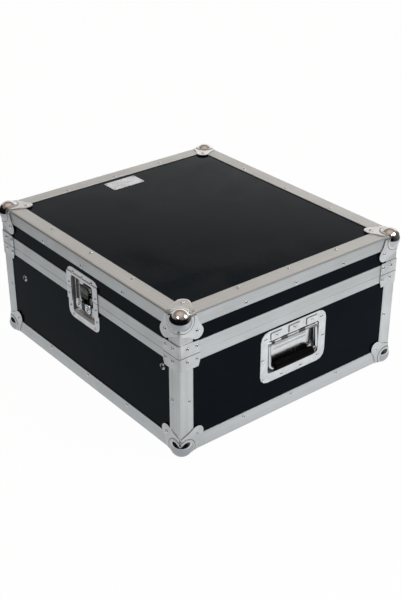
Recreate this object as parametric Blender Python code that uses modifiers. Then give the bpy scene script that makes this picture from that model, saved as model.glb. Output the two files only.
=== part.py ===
# Rackmount mixer flight case: plywood panels in aluminium edging, with a lift-off lid.
# Metres, +Z up. The origin is on the ground under the middle of the case.
# The front (-Y) and the back carry a spring handle each, the left (-X) and right a twist latch each.

import math

import bmesh
import bpy
from mathutils import Matrix, Vector

# Case, measured over the aluminium edging
WIDTH = 0.530
DEPTH = 0.590
HEIGHT = 0.2812
LID_HEIGHT = 0.0794
SPLIT_GAP = 0.0003
CLEAR = 0.0003

# Plywood panels and aluminium edging
PLY = 0.009
FIELD_STEP = 0.0001
SKIN = 0.0015
ARRIS = 0.003
ARRIS_STEPS = 2
LIP_ROUND = 0.0005
RIM_LIP_ROUND = 0.0002
TOP_FLANGE = 0.0313
TOP_SIDE_FLANGE = 0.0269
BOTTOM_FLANGE = 0.0311
POST_LEG = 0.0298

# Rim extrusions that close on each other at the split
LID_RIM = 0.02195
BASE_RIM = 0.016
RIM_WEB = 0.0042
RIM_INNER_LEG = 0.012
TONGUE_WIDTH = 0.003
TONGUE_DROP = 0.0022
TONGUE_CLEAR = 0.0004

# Ball corners
BALL_RADIUS = 0.0205
BALL_INSET = 0.0123
CORNER_SHEET = 0.0014
SEAT_RADIUS = 0.0235
SEAT_RISE = 0.001
NOTCH = 0.036
LOBE_WAIST = (0.0425, 0.020)
LOBE_MIDDLE = 0.0375
LOBE_RADIUS = 0.0135
LOBE_STEPS = 6
SLIT_WIDTH = 0.0024
SLIT_START = 0.023
BALL_SEGMENTS = 16

# Bent braces each side of the split
BRACE_SHEET = 0.0014
BRACE_LEG = 0.0433
UPPER_BRACE = 0.0247
LOWER_BRACE = 0.0263
BRACE_TOP_ROUND = 0.002
BRACE_TAPER = 0.0033
BRACE_SHOULDER = 0.0158
RELIEF_RADIUS = 0.0018

# Rack rails: twelve units, a little higher at the front
RACK_UNIT = 0.04445
RACK_UNITS = 12
RACK_HOLE_FROM_WALL = 0.02135
RACK_HOLE = 0.0095
RACK_HOLE_STEPS = (0.00635, 0.022225, 0.0381)
RAIL_SHEET = 0.002
RAIL_HEIGHT = 0.026
RAIL_SLOPE = math.radians(2.31)
RAIL_BELOW_SPLIT = 0.0485

# Pressed dishes of the handles and latches
DISH_SHEET = 0.0012
DISH_STEPS = 3
PAN_DRAFT = 0.0006

# Handle dish, bail and grip
HANDLE_BELOW_RIM = 0.00445
HANDLE_FLANGE = (0.1612, 0.108)
HANDLE_FLANGE_ROUND = 0.018
HANDLE_OPENING = (0.126, 0.0698)
HANDLE_OPENING_LIFT = -0.0011
HANDLE_OPENING_ROUND = 0.006
HANDLE_DEPTH = 0.0099
ROD_RADIUS = 0.0035
ROD_BELOW_OPENING = 0.0085
ROD_DEPTH = 0.0045
TRUNNION_RADIUS = 0.003
TRUNNION_CLEAR = 0.0004
BAIL_RADIUS = 0.004
BAIL_SIDE_CLEAR = 0.001
BAIL_LENGTH = 0.051
BAIL_BEND = 0.0095
BAIL_EYE_RADIUS = 0.0046
GRIP_RADIUS = 0.0085
GRIP_LENGTH = 0.098
GRIP_ROUND = 0.003
GRIP_DEPTH = 0.0005
KNUCKLE_WIDTH = 0.027
KNUCKLE_HEIGHT = 0.0145
KNUCKLE_RISE = 0.0018
KNUCKLE_PITCH = 0.044
KNUCKLE_SLOT = 0.0013
RIB_LENGTH = 0.080
RIB_RISE = 0.0007
RIB_HEIGHT = 0.003
RIB_PITCH = 0.0075
SPRING_WIRE = 0.0006
SPRING_TURNS = 4
SPRING_PITCH = 0.0016
SPRING_LEG = 0.012

# Latch dish, spindle, wings and hook
LATCH_FLANGE_WIDTH = 0.103
LATCH_ABOVE_SPLIT = 0.0432
LATCH_BELOW_SPLIT = 0.0648
LATCH_FLANGE_ROUND = 0.015
LATCH_OPENING_WIDTH = 0.073
LATCH_OPENING_ABOVE = 0.0282
LATCH_OPENING_BELOW = 0.0523
LATCH_OPENING_ROUND = 0.006
LATCH_DEPTH = 0.0095
JOGGLE_ABOVE = 0.0322
JOGGLE_BELOW = 0.0268
SPINDLE_BELOW_SPLIT = 0.0258
DRUM_RADIUS = 0.011
DRUM_THICKNESS = 0.0029
SHAFT_RADIUS = 0.002
CRANK_RADIUS = 0.0016
CRANK_THROW = 0.004
CRANK_CLEAR = 0.0011
EAR_THICKNESS = 0.002
EAR_HALF_WIDTH = 0.0055
WING_AXIS_OUT = 0.0026
WING_SHEET = 0.0018
WING_REACH = 0.022
WING_HALF_HEIGHT = 0.0095
WING_ROOT = 0.0062
WING_ROUND = 0.006
BARREL_RADIUS = 0.0018
BARREL_LENGTH = 0.012
WING_PIN_RADIUS = 0.0009
WING_PIN_CLEAR = 0.0003
HOOK_WIDTH = 0.026
HOOK_SHEET = 0.0017
HOOK_BELOW = 0.0145
HOOK_ABOVE = 0.041
HOOK_JOGGLE = 0.0135
HOOK_JOGGLE_RUN = 0.004
GUIDE_WIDTH = 0.003
GUIDE_HEIGHT = 0.012
LIP_WIDTH = 0.030
LIP_HEIGHT = 0.008
LIP_ABOVE_SPLIT = 0.0044

# Heights and depths that follow from the sizes above
BOTTOM = BALL_RADIUS - BALL_INSET
TOP = BOTTOM + HEIGHT
SPLIT_Z = TOP - LID_HEIGHT
BASE_EDGE = SPLIT_Z - SPLIT_GAP / 2
LID_EDGE = SPLIT_Z + SPLIT_GAP / 2
PANEL_FACE = SKIN + CLEAR
PANEL_BACK = PANEL_FACE + PLY
BASE_WALL_TOP = BASE_EDGE - RIM_WEB - CLEAR
LID_WALL_BOTTOM = LID_EDGE + RIM_WEB + CLEAR
BASE_WALL_BOTTOM = BOTTOM + PANEL_BACK + CLEAR
LID_WALL_TOP = TOP - PANEL_BACK - CLEAR
HANDLE_FACE = PANEL_FACE - CLEAR - DISH_SHEET
HANDLE_FLOOR = HANDLE_FACE + HANDLE_DEPTH
LATCH_FACE = -CLEAR - DISH_SHEET
LATCH_FLOOR = LATCH_FACE + LATCH_DEPTH
HANDLE_Z = BASE_EDGE - BASE_RIM - HANDLE_BELOW_RIM - HANDLE_FLANGE[1] / 2
OPENING_Z = HANDLE_Z + HANDLE_OPENING_LIFT
ROD_Z = OPENING_Z + HANDLE_OPENING[1] / 2 - ROD_BELOW_OPENING
ROD_Y = HANDLE_FACE + ROD_DEPTH
SPINDLE_Z = SPLIT_Z - SPINDLE_BELOW_SPLIT
WING_AXIS_Y = LATCH_FACE + BARREL_RADIUS + CLEAR
DRUM_FACE = WING_AXIS_Y + BARREL_RADIUS + CLEAR
DRUM_BACK = DRUM_FACE + DRUM_THICKNESS
HOOK_FACE = DRUM_BACK + CLEAR
HOOK_BACK = HOOK_FACE + HOOK_SHEET

PERMUTED = {
    "X": Matrix(((0, 0, 1, 0), (1, 0, 0, 0), (0, 1, 0, 0), (0, 0, 0, 1))),
    "Y": Matrix(((1, 0, 0, 0), (0, 0, -1, 0), (0, 1, 0, 0), (0, 0, 0, 1))),
    "Z": Matrix.Identity(4),
}
SIDES = {
    "front": Matrix.Translation((0, -DEPTH / 2, 0)),
    "back": Matrix.Translation((0, DEPTH / 2, 0)) @ Matrix.Rotation(math.pi, 4, "Z"),
    "left": Matrix.Translation((-WIDTH / 2, 0, 0)) @ Matrix.Rotation(-math.pi / 2, 4, "Z"),
    "right": Matrix.Translation((WIDTH / 2, 0, 0)) @ Matrix.Rotation(math.pi / 2, 4, "Z"),
}
CORNERS = {"front_left": (1, 1), "front_right": (-1, 1), "back_left": (1, -1), "back_right": (-1, -1)}


# Scene and materials


def clear_scene():
    for obj in list(bpy.data.objects):
        bpy.data.objects.remove(obj)


def new_collection(name):
    collection = bpy.data.collections.new(name)
    bpy.context.scene.collection.children.link(collection)
    return collection


def new_material(name, colour, roughness, metallic):
    material = bpy.data.materials.new(name)
    material.use_nodes = True
    shader = material.node_tree.nodes["Principled BSDF"]
    shader.inputs["Base Color"].default_value = (*colour, 1)
    shader.inputs["Roughness"].default_value = roughness
    shader.inputs["Metallic"].default_value = metallic
    material.diffuse_color = (*colour, 1)
    return material


def add_part(name, mesh, material, place=None):
    mesh = mesh.copy()
    mesh.name = name
    mesh.shade_smooth()
    mesh.set_sharp_from_angle(angle=math.radians(30))
    own = MATERIALS[material].copy()
    own.name = name
    mesh.materials.clear()
    mesh.materials.append(own)
    obj = bpy.data.objects.new(name, mesh)
    PARTS.objects.link(obj)
    if place is not None:
        obj.matrix_world = place
    return obj


# Outlines and solids


def rounded_outline(corners, steps):
    """Points of an outline through corners of (x, y, radius), each rounded by an arc or a small chamfer."""
    points = []
    for i, (x, y, radius) in enumerate(corners):
        here = Vector((x, y))
        if radius <= 0:
            points.append(here)
            continue
        before = (Vector(corners[i - 1][:2]) - here).normalized()
        after = (Vector(corners[(i + 1) % len(corners)][:2]) - here).normalized()
        half = before.angle(after) / 2
        centre = here + (before + after).normalized() * radius / math.sin(half)
        start = here + before * radius / math.tan(half) - centre
        end = here + after * radius / math.tan(half) - centre
        turn = math.pi - 2 * half
        count = steps if radius > LIP_ROUND else 1
        for step in range(count + 1):
            share = turn * step / count
            blend = start * math.sin(turn - share) + end * math.sin(share)
            points.append(centre + blend / math.sin(turn))
    return points


def rectangle(low_x, low_y, high_x, high_y, radius=0.0, steps=DISH_STEPS):
    corners = [(low_x, low_y), (high_x, low_y), (high_x, high_y), (low_x, high_y)]
    return rounded_outline([(x, y, radius) for x, y in corners], steps)


def centred(width, height, middle=0.0, radius=0.0, steps=DISH_STEPS):
    half_width, half_height = width / 2, height / 2
    return rectangle(-half_width, middle - half_height, half_width, middle + half_height, radius, steps)


def evaluated_mesh(obj):
    """The object's mesh with its modifiers applied and loose caps welded."""
    bpy.context.view_layer.update()
    graph = bpy.context.evaluated_depsgraph_get()
    mesh = bpy.data.meshes.new_from_object(obj.evaluated_get(graph))
    mesh.transform(obj.matrix_world)
    bm = bmesh.new()
    bm.from_mesh(mesh)
    bmesh.ops.remove_doubles(bm, verts=bm.verts, dist=1e-6)
    bmesh.ops.recalc_face_normals(bm, faces=bm.faces)
    bm.to_mesh(mesh)
    bm.free()
    bpy.data.objects.remove(obj)
    return mesh


def held(data, name="work"):
    obj = bpy.data.objects.new(name, data)
    CUTTERS.objects.link(obj)
    obj.hide_render = True
    obj.display_type = "WIRE"
    return obj


def slab(outlines, axis, low, high):
    """A flat outline, with any holes, as thick as from low to high along the axis."""
    if axis == "Y":
        low, high = -high, -low
    curve = bpy.data.curves.new("outline", "CURVE")
    curve.dimensions = "2D"
    curve.fill_mode = "BOTH"
    curve.extrude = (high - low) / 2
    for outline in outlines:
        spline = curve.splines.new("POLY")
        spline.points.add(len(outline) - 1)
        for point, (x, y) in zip(spline.points, outline):
            point.co = (x, y, 0, 1)
        spline.use_cyclic_u = True
    obj = held(curve)
    obj.matrix_world = PERMUTED[axis] @ Matrix.Translation((0, 0, (low + high) / 2))
    return evaluated_mesh(obj)


def tube(points, radius, resolution):
    curve = bpy.data.curves.new("tube", "CURVE")
    curve.dimensions = "3D"
    curve.bevel_depth = radius
    curve.bevel_resolution = resolution
    curve.use_fill_caps = True
    spline = curve.splines.new("POLY")
    spline.points.add(len(points) - 1)
    for point, place in zip(spline.points, points):
        point.co = (*place, 1)
    return evaluated_mesh(held(curve))


def mesh_of(bm, name="work"):
    mesh = bpy.data.meshes.new(name)
    bm.to_mesh(mesh)
    bm.free()
    return mesh


def box(low, high, radius=0.0, segments=ARRIS_STEPS):
    low, high = Vector(low), Vector(high)
    bm = bmesh.new()
    bmesh.ops.create_cube(bm, size=1)
    bmesh.ops.scale(bm, vec=high - low, verts=bm.verts)
    bmesh.ops.translate(bm, vec=(low + high) / 2, verts=bm.verts)
    if radius > 0:
        bmesh.ops.bevel(bm, geom=bm.edges[:], offset=radius, segments=segments, profile=0.5, affect="EDGES")
    return mesh_of(bm)


def cylinder(radius, start, end, sides):
    start, end = Vector(start), Vector(end)
    along = end - start
    bm = bmesh.new()
    turn = along.to_track_quat("Z", "Y").to_matrix().to_4x4()
    place = Matrix.Translation((start + end) / 2) @ turn
    bmesh.ops.create_cone(
        bm, cap_ends=True, segments=sides, radius1=radius, radius2=radius, depth=along.length, matrix=place
    )
    return mesh_of(bm)


def sphere(radius, centre, segments):
    bm = bmesh.new()
    place = Matrix.Translation(centre)
    bmesh.ops.create_uvsphere(bm, u_segments=segments, v_segments=segments // 2, radius=radius, matrix=place)
    return mesh_of(bm)


def turned(profile, steps):
    """A closed (radius, height) profile turned about Z."""
    bm = bmesh.new()
    verts = [bm.verts.new((radius, 0, height)) for radius, height in profile]
    for i, vert in enumerate(verts):
        bm.edges.new((vert, verts[(i + 1) % len(verts)]))
    obj = held(mesh_of(bm))
    screw = obj.modifiers.new("turn", "SCREW")
    screw.axis = "Z"
    screw.steps = steps
    screw.render_steps = steps
    screw.use_merge_vertices = True
    screw.merge_threshold = 1e-5
    return evaluated_mesh(obj)


def joined(operation, body, tools):
    """The body with each tool united with it, cut from it, or kept in common with it."""
    for tool in tools:
        target, other = held(body, "body"), held(tool, "tool")
        change = target.modifiers.new(operation.lower(), "BOOLEAN")
        change.operation = operation
        change.object = other
        change.solver = "EXACT"
        body = evaluated_mesh(target)
        bpy.data.objects.remove(other)
    return body


def lofted(loops, close=False):
    """A bmesh surface of quads between loops that have the same number of points."""
    bm = bmesh.new()
    rings = [[bm.verts.new(point) for point in loop] for loop in loops]
    pairs = list(zip(rings, rings[1:]))
    if close:
        pairs.append((rings[-1], rings[0]))
    for first, second in pairs:
        for i in range(len(first)):
            j = (i + 1) % len(first)
            bm.faces.new((first[i], first[j], second[j], second[i]))
    return bm, rings


def mirrored(mesh, mirror_x, mirror_y, mirror_z=1):
    """A copy mirrored about the case's middle, where a factor is -1."""
    middle = Matrix.Translation((0, 0, (TOP + BOTTOM) / 2))
    copy = mesh.copy()
    copy.transform(middle @ Matrix.Diagonal((mirror_x, mirror_y, mirror_z, 1)) @ middle.inverted())
    if mirror_x * mirror_y * mirror_z < 0:
        copy.flip_normals()
    return copy


def at_corner(mesh):
    """Moves a mesh drawn from the corner of the case to the front left bottom corner."""
    mesh.transform(Matrix.Translation((-WIDTH / 2, -DEPTH / 2, BOTTOM)))
    return mesh


# Aluminium frames, panels and posts


def plan_loop(inset, height):
    """The case's outline at this inset from its faces, with rounded upright arrises."""
    radius = max(ARRIS - 2 * inset, ARRIS / 4)
    outline = centred(WIDTH - 2 * inset, DEPTH - 2 * inset, 0.0, radius, ARRIS_STEPS)
    return [(x, y, height) for x, y in outline]


def frame_ring(profile):
    """Four mitred lengths of one extrusion; the profile is (inset, height, radius)."""
    outline = rounded_outline(profile, ARRIS_STEPS)
    bm, _ = lofted([plan_loop(inset, height) for inset, height in outline], close=True)
    bmesh.ops.recalc_face_normals(bm, faces=bm.faces)
    return mesh_of(bm)


def edge_profile(face, inward, flange, side):
    """Angle extrusion at the height face; inward is -1 under the lid's top and 1 over the underside."""
    return [
        (0, face, ARRIS),
        (flange, face, LIP_ROUND),
        (flange, face + inward * SKIN, 0),
        (SKIN, face + inward * SKIN, LIP_ROUND),
        (SKIN, face + inward * side, 0),
        (0, face + inward * side, LIP_ROUND),
    ]


def rim_profile(edge, away, height, tongue):
    """Channel that holds the wall, closed towards the split by a web with a tongue or a groove."""
    slot_back = PANEL_BACK + CLEAR
    back = slot_back + SKIN
    web = edge + away * RIM_WEB
    middle = back / 2
    half = TONGUE_WIDTH / 2 + (0 if tongue else TONGUE_CLEAR)
    depth = -TONGUE_DROP if tongue else TONGUE_DROP + TONGUE_CLEAR
    step = edge + away * depth
    return [
        (0, edge, RIM_LIP_ROUND),
        (middle - half, edge, 0),
        (middle - half, step, 0),
        (middle + half, step, 0),
        (middle + half, edge, 0),
        (back, edge, RIM_LIP_ROUND),
        (back, edge + away * RIM_INNER_LEG, 0),
        (slot_back, edge + away * RIM_INNER_LEG, 0),
        (slot_back, web, 0),
        (SKIN, web, 0),
        (SKIN, edge + away * height, 0),
        (0, edge + away * height, LIP_ROUND),
    ]


def latch_pan_cutter(side_sign):
    """Room for the latch pans in the rims of one side."""
    half = LATCH_OPENING_WIDTH / 2 + DISH_SHEET + CLEAR
    depth = LATCH_FLOOR + DISH_SHEET + CLEAR
    near, far = WIDTH / 2 - depth, WIDTH / 2 + 0.01
    low_x, high_x = (near, far) if side_sign > 0 else (-far, -near)
    low_z = SPLIT_Z - LATCH_OPENING_BELOW - DISH_SHEET - CLEAR
    high_z = SPLIT_Z + LATCH_OPENING_ABOVE + DISH_SHEET + CLEAR
    return box((low_x, -half, low_z), (high_x, half, high_z))


def make_frames():
    cutters = [latch_pan_cutter(-1), latch_pan_cutter(1)]
    add_part("bottom_edge_frame", frame_ring(edge_profile(BOTTOM, 1, TOP_FLANGE, BOTTOM_FLANGE)), "aluminium")
    add_part("top_edge_frame", frame_ring(edge_profile(TOP, -1, TOP_FLANGE, TOP_SIDE_FLANGE)), "aluminium")
    base_rim = frame_ring(rim_profile(BASE_EDGE, -1, BASE_RIM, False))
    lid_rim = frame_ring(rim_profile(LID_EDGE, 1, LID_RIM, True))
    add_part("base_rim_frame", joined("DIFFERENCE", base_rim, cutters), "aluminium")
    cutters = [latch_pan_cutter(-1), latch_pan_cutter(1)]
    add_part("lid_rim_frame", joined("DIFFERENCE", lid_rim, cutters), "aluminium")


def post_mesh(low, high):
    outline = rounded_outline(
        [
            (0, 0, ARRIS),
            (POST_LEG, 0, LIP_ROUND),
            (POST_LEG, SKIN, 0),
            (SKIN, SKIN, LIP_ROUND),
            (SKIN, POST_LEG, 0),
            (0, POST_LEG, LIP_ROUND),
        ],
        ARRIS_STEPS,
    )
    return at_corner(slab([outline], "Z", low - BOTTOM, high - BOTTOM))


def make_posts():
    base = post_mesh(BOTTOM + BOTTOM_FLANGE + CLEAR, BASE_EDGE - BASE_RIM - CLEAR)
    lid = post_mesh(LID_EDGE + LID_RIM + CLEAR, TOP - TOP_SIDE_FLANGE - CLEAR)
    for corner, (mirror_x, mirror_y) in CORNERS.items():
        add_part("base_post_" + corner, mirrored(base, mirror_x, mirror_y), "aluminium")
        add_part("lid_post_" + corner, mirrored(lid, mirror_x, mirror_y), "aluminium")


def panel_mesh(low, high, margin):
    """A level panel with a field on its upper face, raised a little inside a margin."""
    half_x = WIDTH / 2 - PANEL_FACE
    half_y = DEPTH / 2 - PANEL_FACE
    bm = bmesh.new()
    bm.from_mesh(box((-half_x, -half_y, low), (half_x, half_y, high)))
    upper = max(bm.faces, key=lambda face: face.normal.z)
    for width, rise in ((margin, 0), (FIELD_STEP, FIELD_STEP)):
        bmesh.ops.inset_individual(
            bm, faces=[upper], thickness=width, depth=rise, use_even_offset=True
        )
    return mesh_of(bm)


def make_panels():
    along = DEPTH - 2 * PANEL_FACE
    under_walls = PLY + CLEAR
    under_lobes = LOBE_MIDDLE + LOBE_RADIUS + CLEAR - PANEL_FACE
    floor_panel = panel_mesh(BOTTOM + PANEL_FACE, BOTTOM + PANEL_BACK, under_walls)
    add_part("base_floor_panel", floor_panel, "laminate")
    top_panel = panel_mesh(TOP - PANEL_BACK, TOP - PANEL_FACE, under_lobes)
    add_part("lid_top_panel", top_panel, "laminate")
    half = WIDTH / 2 - PANEL_BACK - CLEAR
    base_outline = rectangle(-half, BASE_WALL_BOTTOM, half, BASE_WALL_TOP)
    lid_outline = rectangle(-half, LID_WALL_BOTTOM, half, LID_WALL_TOP)
    room = 2 * (DISH_SHEET + TRUNNION_RADIUS)
    hole_width = HANDLE_OPENING[0] + room
    hole_height = HANDLE_OPENING[1] + 2 * (DISH_SHEET + CLEAR)
    handle_hole = centred(hole_width, hole_height, OPENING_Z, HANDLE_OPENING_ROUND)
    for name, outward in (("front", -1), ("back", 1)):
        faces = sorted((outward * (DEPTH / 2 - PANEL_FACE), outward * (DEPTH / 2 - PANEL_BACK)))
        add_part("base_wall_" + name, slab([base_outline, handle_hole], "Y", *faces), "laminate")
        add_part("lid_wall_" + name, slab([lid_outline], "Y", *faces), "laminate")
    notch = LATCH_OPENING_WIDTH / 2 + DISH_SHEET + CLEAR
    end = along / 2
    base_notch = SPLIT_Z - LATCH_OPENING_BELOW - DISH_SHEET - CLEAR
    lid_notch = SPLIT_Z + LATCH_OPENING_ABOVE + DISH_SHEET + CLEAR
    base_side = notched(end, BASE_WALL_BOTTOM, BASE_WALL_TOP, notch, base_notch)
    lid_side = notched(end, LID_WALL_TOP, LID_WALL_BOTTOM, notch, lid_notch)
    for name, outward in (("left", -1), ("right", 1)):
        faces = sorted((outward * (WIDTH / 2 - PANEL_FACE), outward * (WIDTH / 2 - PANEL_BACK)))
        add_part("base_wall_" + name, slab([base_side], "X", *faces), "laminate")
        add_part("lid_wall_" + name, slab([lid_side], "X", *faces), "laminate")


def notched(end, plain, open_edge, half_notch, notch_to):
    """Wall outline between two heights with a notch in its open edge for the latch pan."""
    radius = LATCH_OPENING_ROUND
    corners = [
        (-end, plain, 0),
        (end, plain, 0),
        (end, open_edge, 0),
        (half_notch, open_edge, 0),
        (half_notch, notch_to, radius),
        (-half_notch, notch_to, radius),
        (-half_notch, open_edge, 0),
        (-end, open_edge, 0),
    ]
    return rounded_outline(corners, DISH_STEPS)


# Ball corners and braces


def corner_box(offset, reach, radius):
    """A rounded block that stands offset outside the corner's three faces."""
    return box((-offset, -offset, -offset), (reach, reach, reach), radius)


def beyond_lobe(outside, reach):
    """The part of one face that the ball corner leaves free: all but a lobe along the diagonal."""
    waist = Vector(LOBE_WAIST)
    centre = Vector((LOBE_MIDDLE, LOBE_MIDDLE))
    away = centre - waist
    tangent = math.atan2(away.y, away.x) - math.asin(LOBE_RADIUS / away.length)
    start = tangent - math.pi / 2
    sweep = math.pi / 2 - 2 * start
    points = [Vector((NOTCH, -outside)), Vector((NOTCH, 0)), waist]
    for step in range(LOBE_STEPS + 1):
        angle = start + sweep * step / LOBE_STEPS
        points.append(centre + LOBE_RADIUS * Vector((math.cos(angle), math.sin(angle))))
    points += [Vector((y, x)) for x, y in reversed(points[:3])]
    return points + [Vector((-outside, reach)), Vector((reach, reach)), Vector((reach, -outside))]


def ball_corner_mesh():
    offset = CLEAR + CORNER_SHEET
    seat_offset = offset + SEAT_RISE
    reach = LOBE_MIDDLE + 2 * LOBE_RADIUS
    centre = (BALL_INSET, BALL_INSET, BALL_INSET)
    seat = sphere(SEAT_RADIUS, centre, BALL_SEGMENTS)
    seat = joined("INTERSECT", seat, [corner_box(seat_offset, 2 * reach, ARRIS + seat_offset)])
    cover = joined("UNION", corner_box(offset, reach, ARRIS + offset), [seat])
    outside = 2 * seat_offset
    cutters = []
    for axis in range(3):
        low, high = [-outside] * 3, [SLIT_WIDTH / 2] * 3
        low[axis], high[axis] = SLIT_START, 2 * reach
        cutters.append(box(low, high))
    for axis in "XYZ":
        cutters.append(slab([beyond_lobe(outside, 2 * reach)], axis, -outside, SLIT_WIDTH))
    cover = joined("DIFFERENCE", cover, cutters)
    cover = joined("UNION", cover, [sphere(BALL_RADIUS, centre, BALL_SEGMENTS)])
    return at_corner(joined("DIFFERENCE", cover, [corner_box(CLEAR, 2 * reach, ARRIS)]))


def brace_mesh(low, high):
    inner, outer = CLEAR, CLEAR + BRACE_SHEET
    corners = [
        (-outer, -outer, ARRIS + outer),
        (BRACE_LEG, -outer, 0),
        (BRACE_LEG, -inner, 0),
        (-inner, -inner, ARRIS + inner),
        (-inner, BRACE_LEG, 0),
        (-outer, BRACE_LEG, 0),
    ]
    return slab([rounded_outline(corners, ARRIS_STEPS)], "Z", low - BOTTOM, high - BOTTOM)


def trimmed_ends(brace, corners):
    """Cuts both legs to a line given as (distance from the corner, height) points."""
    leg_y = slab([corners], "Y", -BRACE_LEG / 2, BRACE_LEG / 2)
    leg_x = slab([corners], "X", -BRACE_LEG / 2, BRACE_LEG / 2)
    return joined("DIFFERENCE", brace, [leg_y, leg_x])


def make_corners():
    ball = ball_corner_mesh()
    margin = BRACE_SHEET
    high = LID_EDGE + UPPER_BRACE
    upper = brace_mesh(LID_EDGE + SPLIT_GAP / 2, high)
    top = high - BOTTOM
    end = BRACE_LEG
    round_off = [
        (end - BRACE_TOP_ROUND, top + margin),
        (end - BRACE_TOP_ROUND, top),
        (end, top - BRACE_TOP_ROUND),
        (end + margin, top - BRACE_TOP_ROUND),
        (end + margin, top + margin),
    ]
    upper = at_corner(trimmed_ends(upper, round_off))
    low = BASE_EDGE - LOWER_BRACE
    lower = brace_mesh(low, BASE_EDGE - SPLIT_GAP / 2)
    bottom = low - BOTTOM
    shoulder = BASE_EDGE - BOTTOM - BRACE_SHOULDER
    taper = [
        (end - BRACE_TAPER, bottom - margin),
        (end - BRACE_TAPER, bottom),
        (end, shoulder),
        (end + margin, shoulder),
        (end + margin, bottom - margin),
    ]
    lower = trimmed_ends(lower, taper)
    reach = ARRIS + CLEAR + BRACE_SHEET
    relief = cylinder(RELIEF_RADIUS, (-reach, -reach, bottom), (reach, reach, bottom), 12)
    lower = at_corner(joined("DIFFERENCE", lower, [relief]))
    for corner, (mirror_x, mirror_y) in CORNERS.items():
        add_part("base_ball_corner_" + corner, mirrored(ball, mirror_x, mirror_y), "nickel")
        add_part("lid_ball_corner_" + corner, mirrored(ball, mirror_x, mirror_y, -1), "nickel")
        add_part("base_brace_" + corner, mirrored(lower, mirror_x, mirror_y), "zinc")
        add_part("lid_brace_" + corner, mirrored(upper, mirror_x, mirror_y), "zinc")


# Rack rails


def rack_rail_mesh():
    """Left rail, drawn level about its bolts and then tilted."""
    wall = -(WIDTH / 2 - PANEL_BACK - CLEAR)
    holes_x = wall + RACK_HOLE_FROM_WALL
    margin = (RAIL_SHEET + RACK_HOLE) / 2 + RAIL_SHEET
    length = RACK_UNIT * RACK_UNITS
    outlines = [rectangle(wall, -length / 2, holes_x + margin, length / 2)]
    for unit in range(RACK_UNITS):
        for step in RACK_HOLE_STEPS:
            middle = -length / 2 + unit * RACK_UNIT + step
            half = RACK_HOLE / 2
            outlines.append(rectangle(holes_x - half, middle - half, holes_x + half, middle + half))
    top = RAIL_HEIGHT / 2
    shelf = slab(outlines, "Z", top - RAIL_SHEET, top)
    leg = box((wall, -length / 2, -top), (wall + RAIL_SHEET, length / 2, top))
    rail = joined("UNION", shelf, [leg])
    tilt = Matrix.Rotation(-RAIL_SLOPE, 4, "X")
    rail.transform(Matrix.Translation((0, 0, SPLIT_Z - RAIL_BELOW_SPLIT)) @ tilt)
    return rail


def make_rails():
    rail = rack_rail_mesh()
    add_part("rack_rail_left", rail, "black_steel")
    add_part("rack_rail_right", mirrored(rail, -1, 1), "black_steel")


# Handles, drawn on the front face: x across, y into the case, z up


def dish_surface(flange, opening, face, floor):
    """Flange, drafted wall and floor of a pressed dish, as an open surface facing outwards."""
    inset = PAN_DRAFT
    middle = [sum(axis) / len(opening) for axis in zip(*opening)]
    floor_loop = []
    for x, z in opening:
        floor_x = x - math.copysign(inset, x - middle[0])
        floor_z = z - math.copysign(inset, z - middle[1])
        floor_loop.append((floor_x, floor, floor_z))
    loops = [[(x, face, z) for x, z in flange], [(x, face, z) for x, z in opening], floor_loop]
    bm, rings = lofted(loops)
    bm.faces.new(rings[-1])
    bmesh.ops.recalc_face_normals(bm, faces=bm.faces)
    bm.normal_update()
    bm.faces.ensure_lookup_table()
    if bm.faces[0].normal.y > 0:
        bmesh.ops.reverse_faces(bm, faces=bm.faces)
    return bm


def pressed(bm):
    """The surface as sheet metal, its thickness behind the surface."""
    obj = held(mesh_of(bm))
    solidify = obj.modifiers.new("sheet", "SOLIDIFY")
    solidify.thickness = DISH_SHEET
    solidify.offset = -1
    solidify.use_even_offset = True
    return evaluated_mesh(obj)


def handle_dish_mesh():
    flange = centred(*HANDLE_FLANGE, HANDLE_Z, HANDLE_FLANGE_ROUND)
    opening = centred(*HANDLE_OPENING, OPENING_Z, HANDLE_OPENING_ROUND)
    dish = pressed(dish_surface(flange, opening, HANDLE_FACE, HANDLE_FLOOR))
    strip_bottom = OPENING_Z + HANDLE_OPENING[1] / 2
    inside = HANDLE_FACE + DISH_SHEET / 2
    additions = []
    slots = []
    for x in (-KNUCKLE_PITCH, 0, KNUCKLE_PITCH):
        low = strip_bottom + LIP_ROUND
        high = low + KNUCKLE_HEIGHT
        half = KNUCKLE_WIDTH / 2
        front = HANDLE_FACE - KNUCKLE_RISE
        additions.append(slab([rectangle(x - half, low, x + half, high, KNUCKLE_SLOT, 1)], "Y", front, inside))
        slot = rectangle(x - half, high + CLEAR, x + half, high + CLEAR + KNUCKLE_SLOT)
        slots.append(slab([slot], "Y", front, HANDLE_FACE + 2 * DISH_SHEET))
    for rib in range(3):
        middle = ROD_Z - BAIL_EYE_RADIUS - rib * RIB_PITCH
        outline = centred(RIB_LENGTH, RIB_HEIGHT, middle, RIB_HEIGHT / 3, 1)
        additions.append(slab([outline], "Y", HANDLE_FLOOR - RIB_RISE, HANDLE_FLOOR + DISH_SHEET / 2))
    dish = joined("UNION", dish, additions)
    reach = HANDLE_OPENING[0] / 2 + 2 * TRUNNION_RADIUS
    hole_radius = TRUNNION_RADIUS + TRUNNION_CLEAR
    slots.append(cylinder(hole_radius, (-reach, ROD_Y, ROD_Z), (reach, ROD_Y, ROD_Z), 12))
    return joined("DIFFERENCE", dish, slots)


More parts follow.
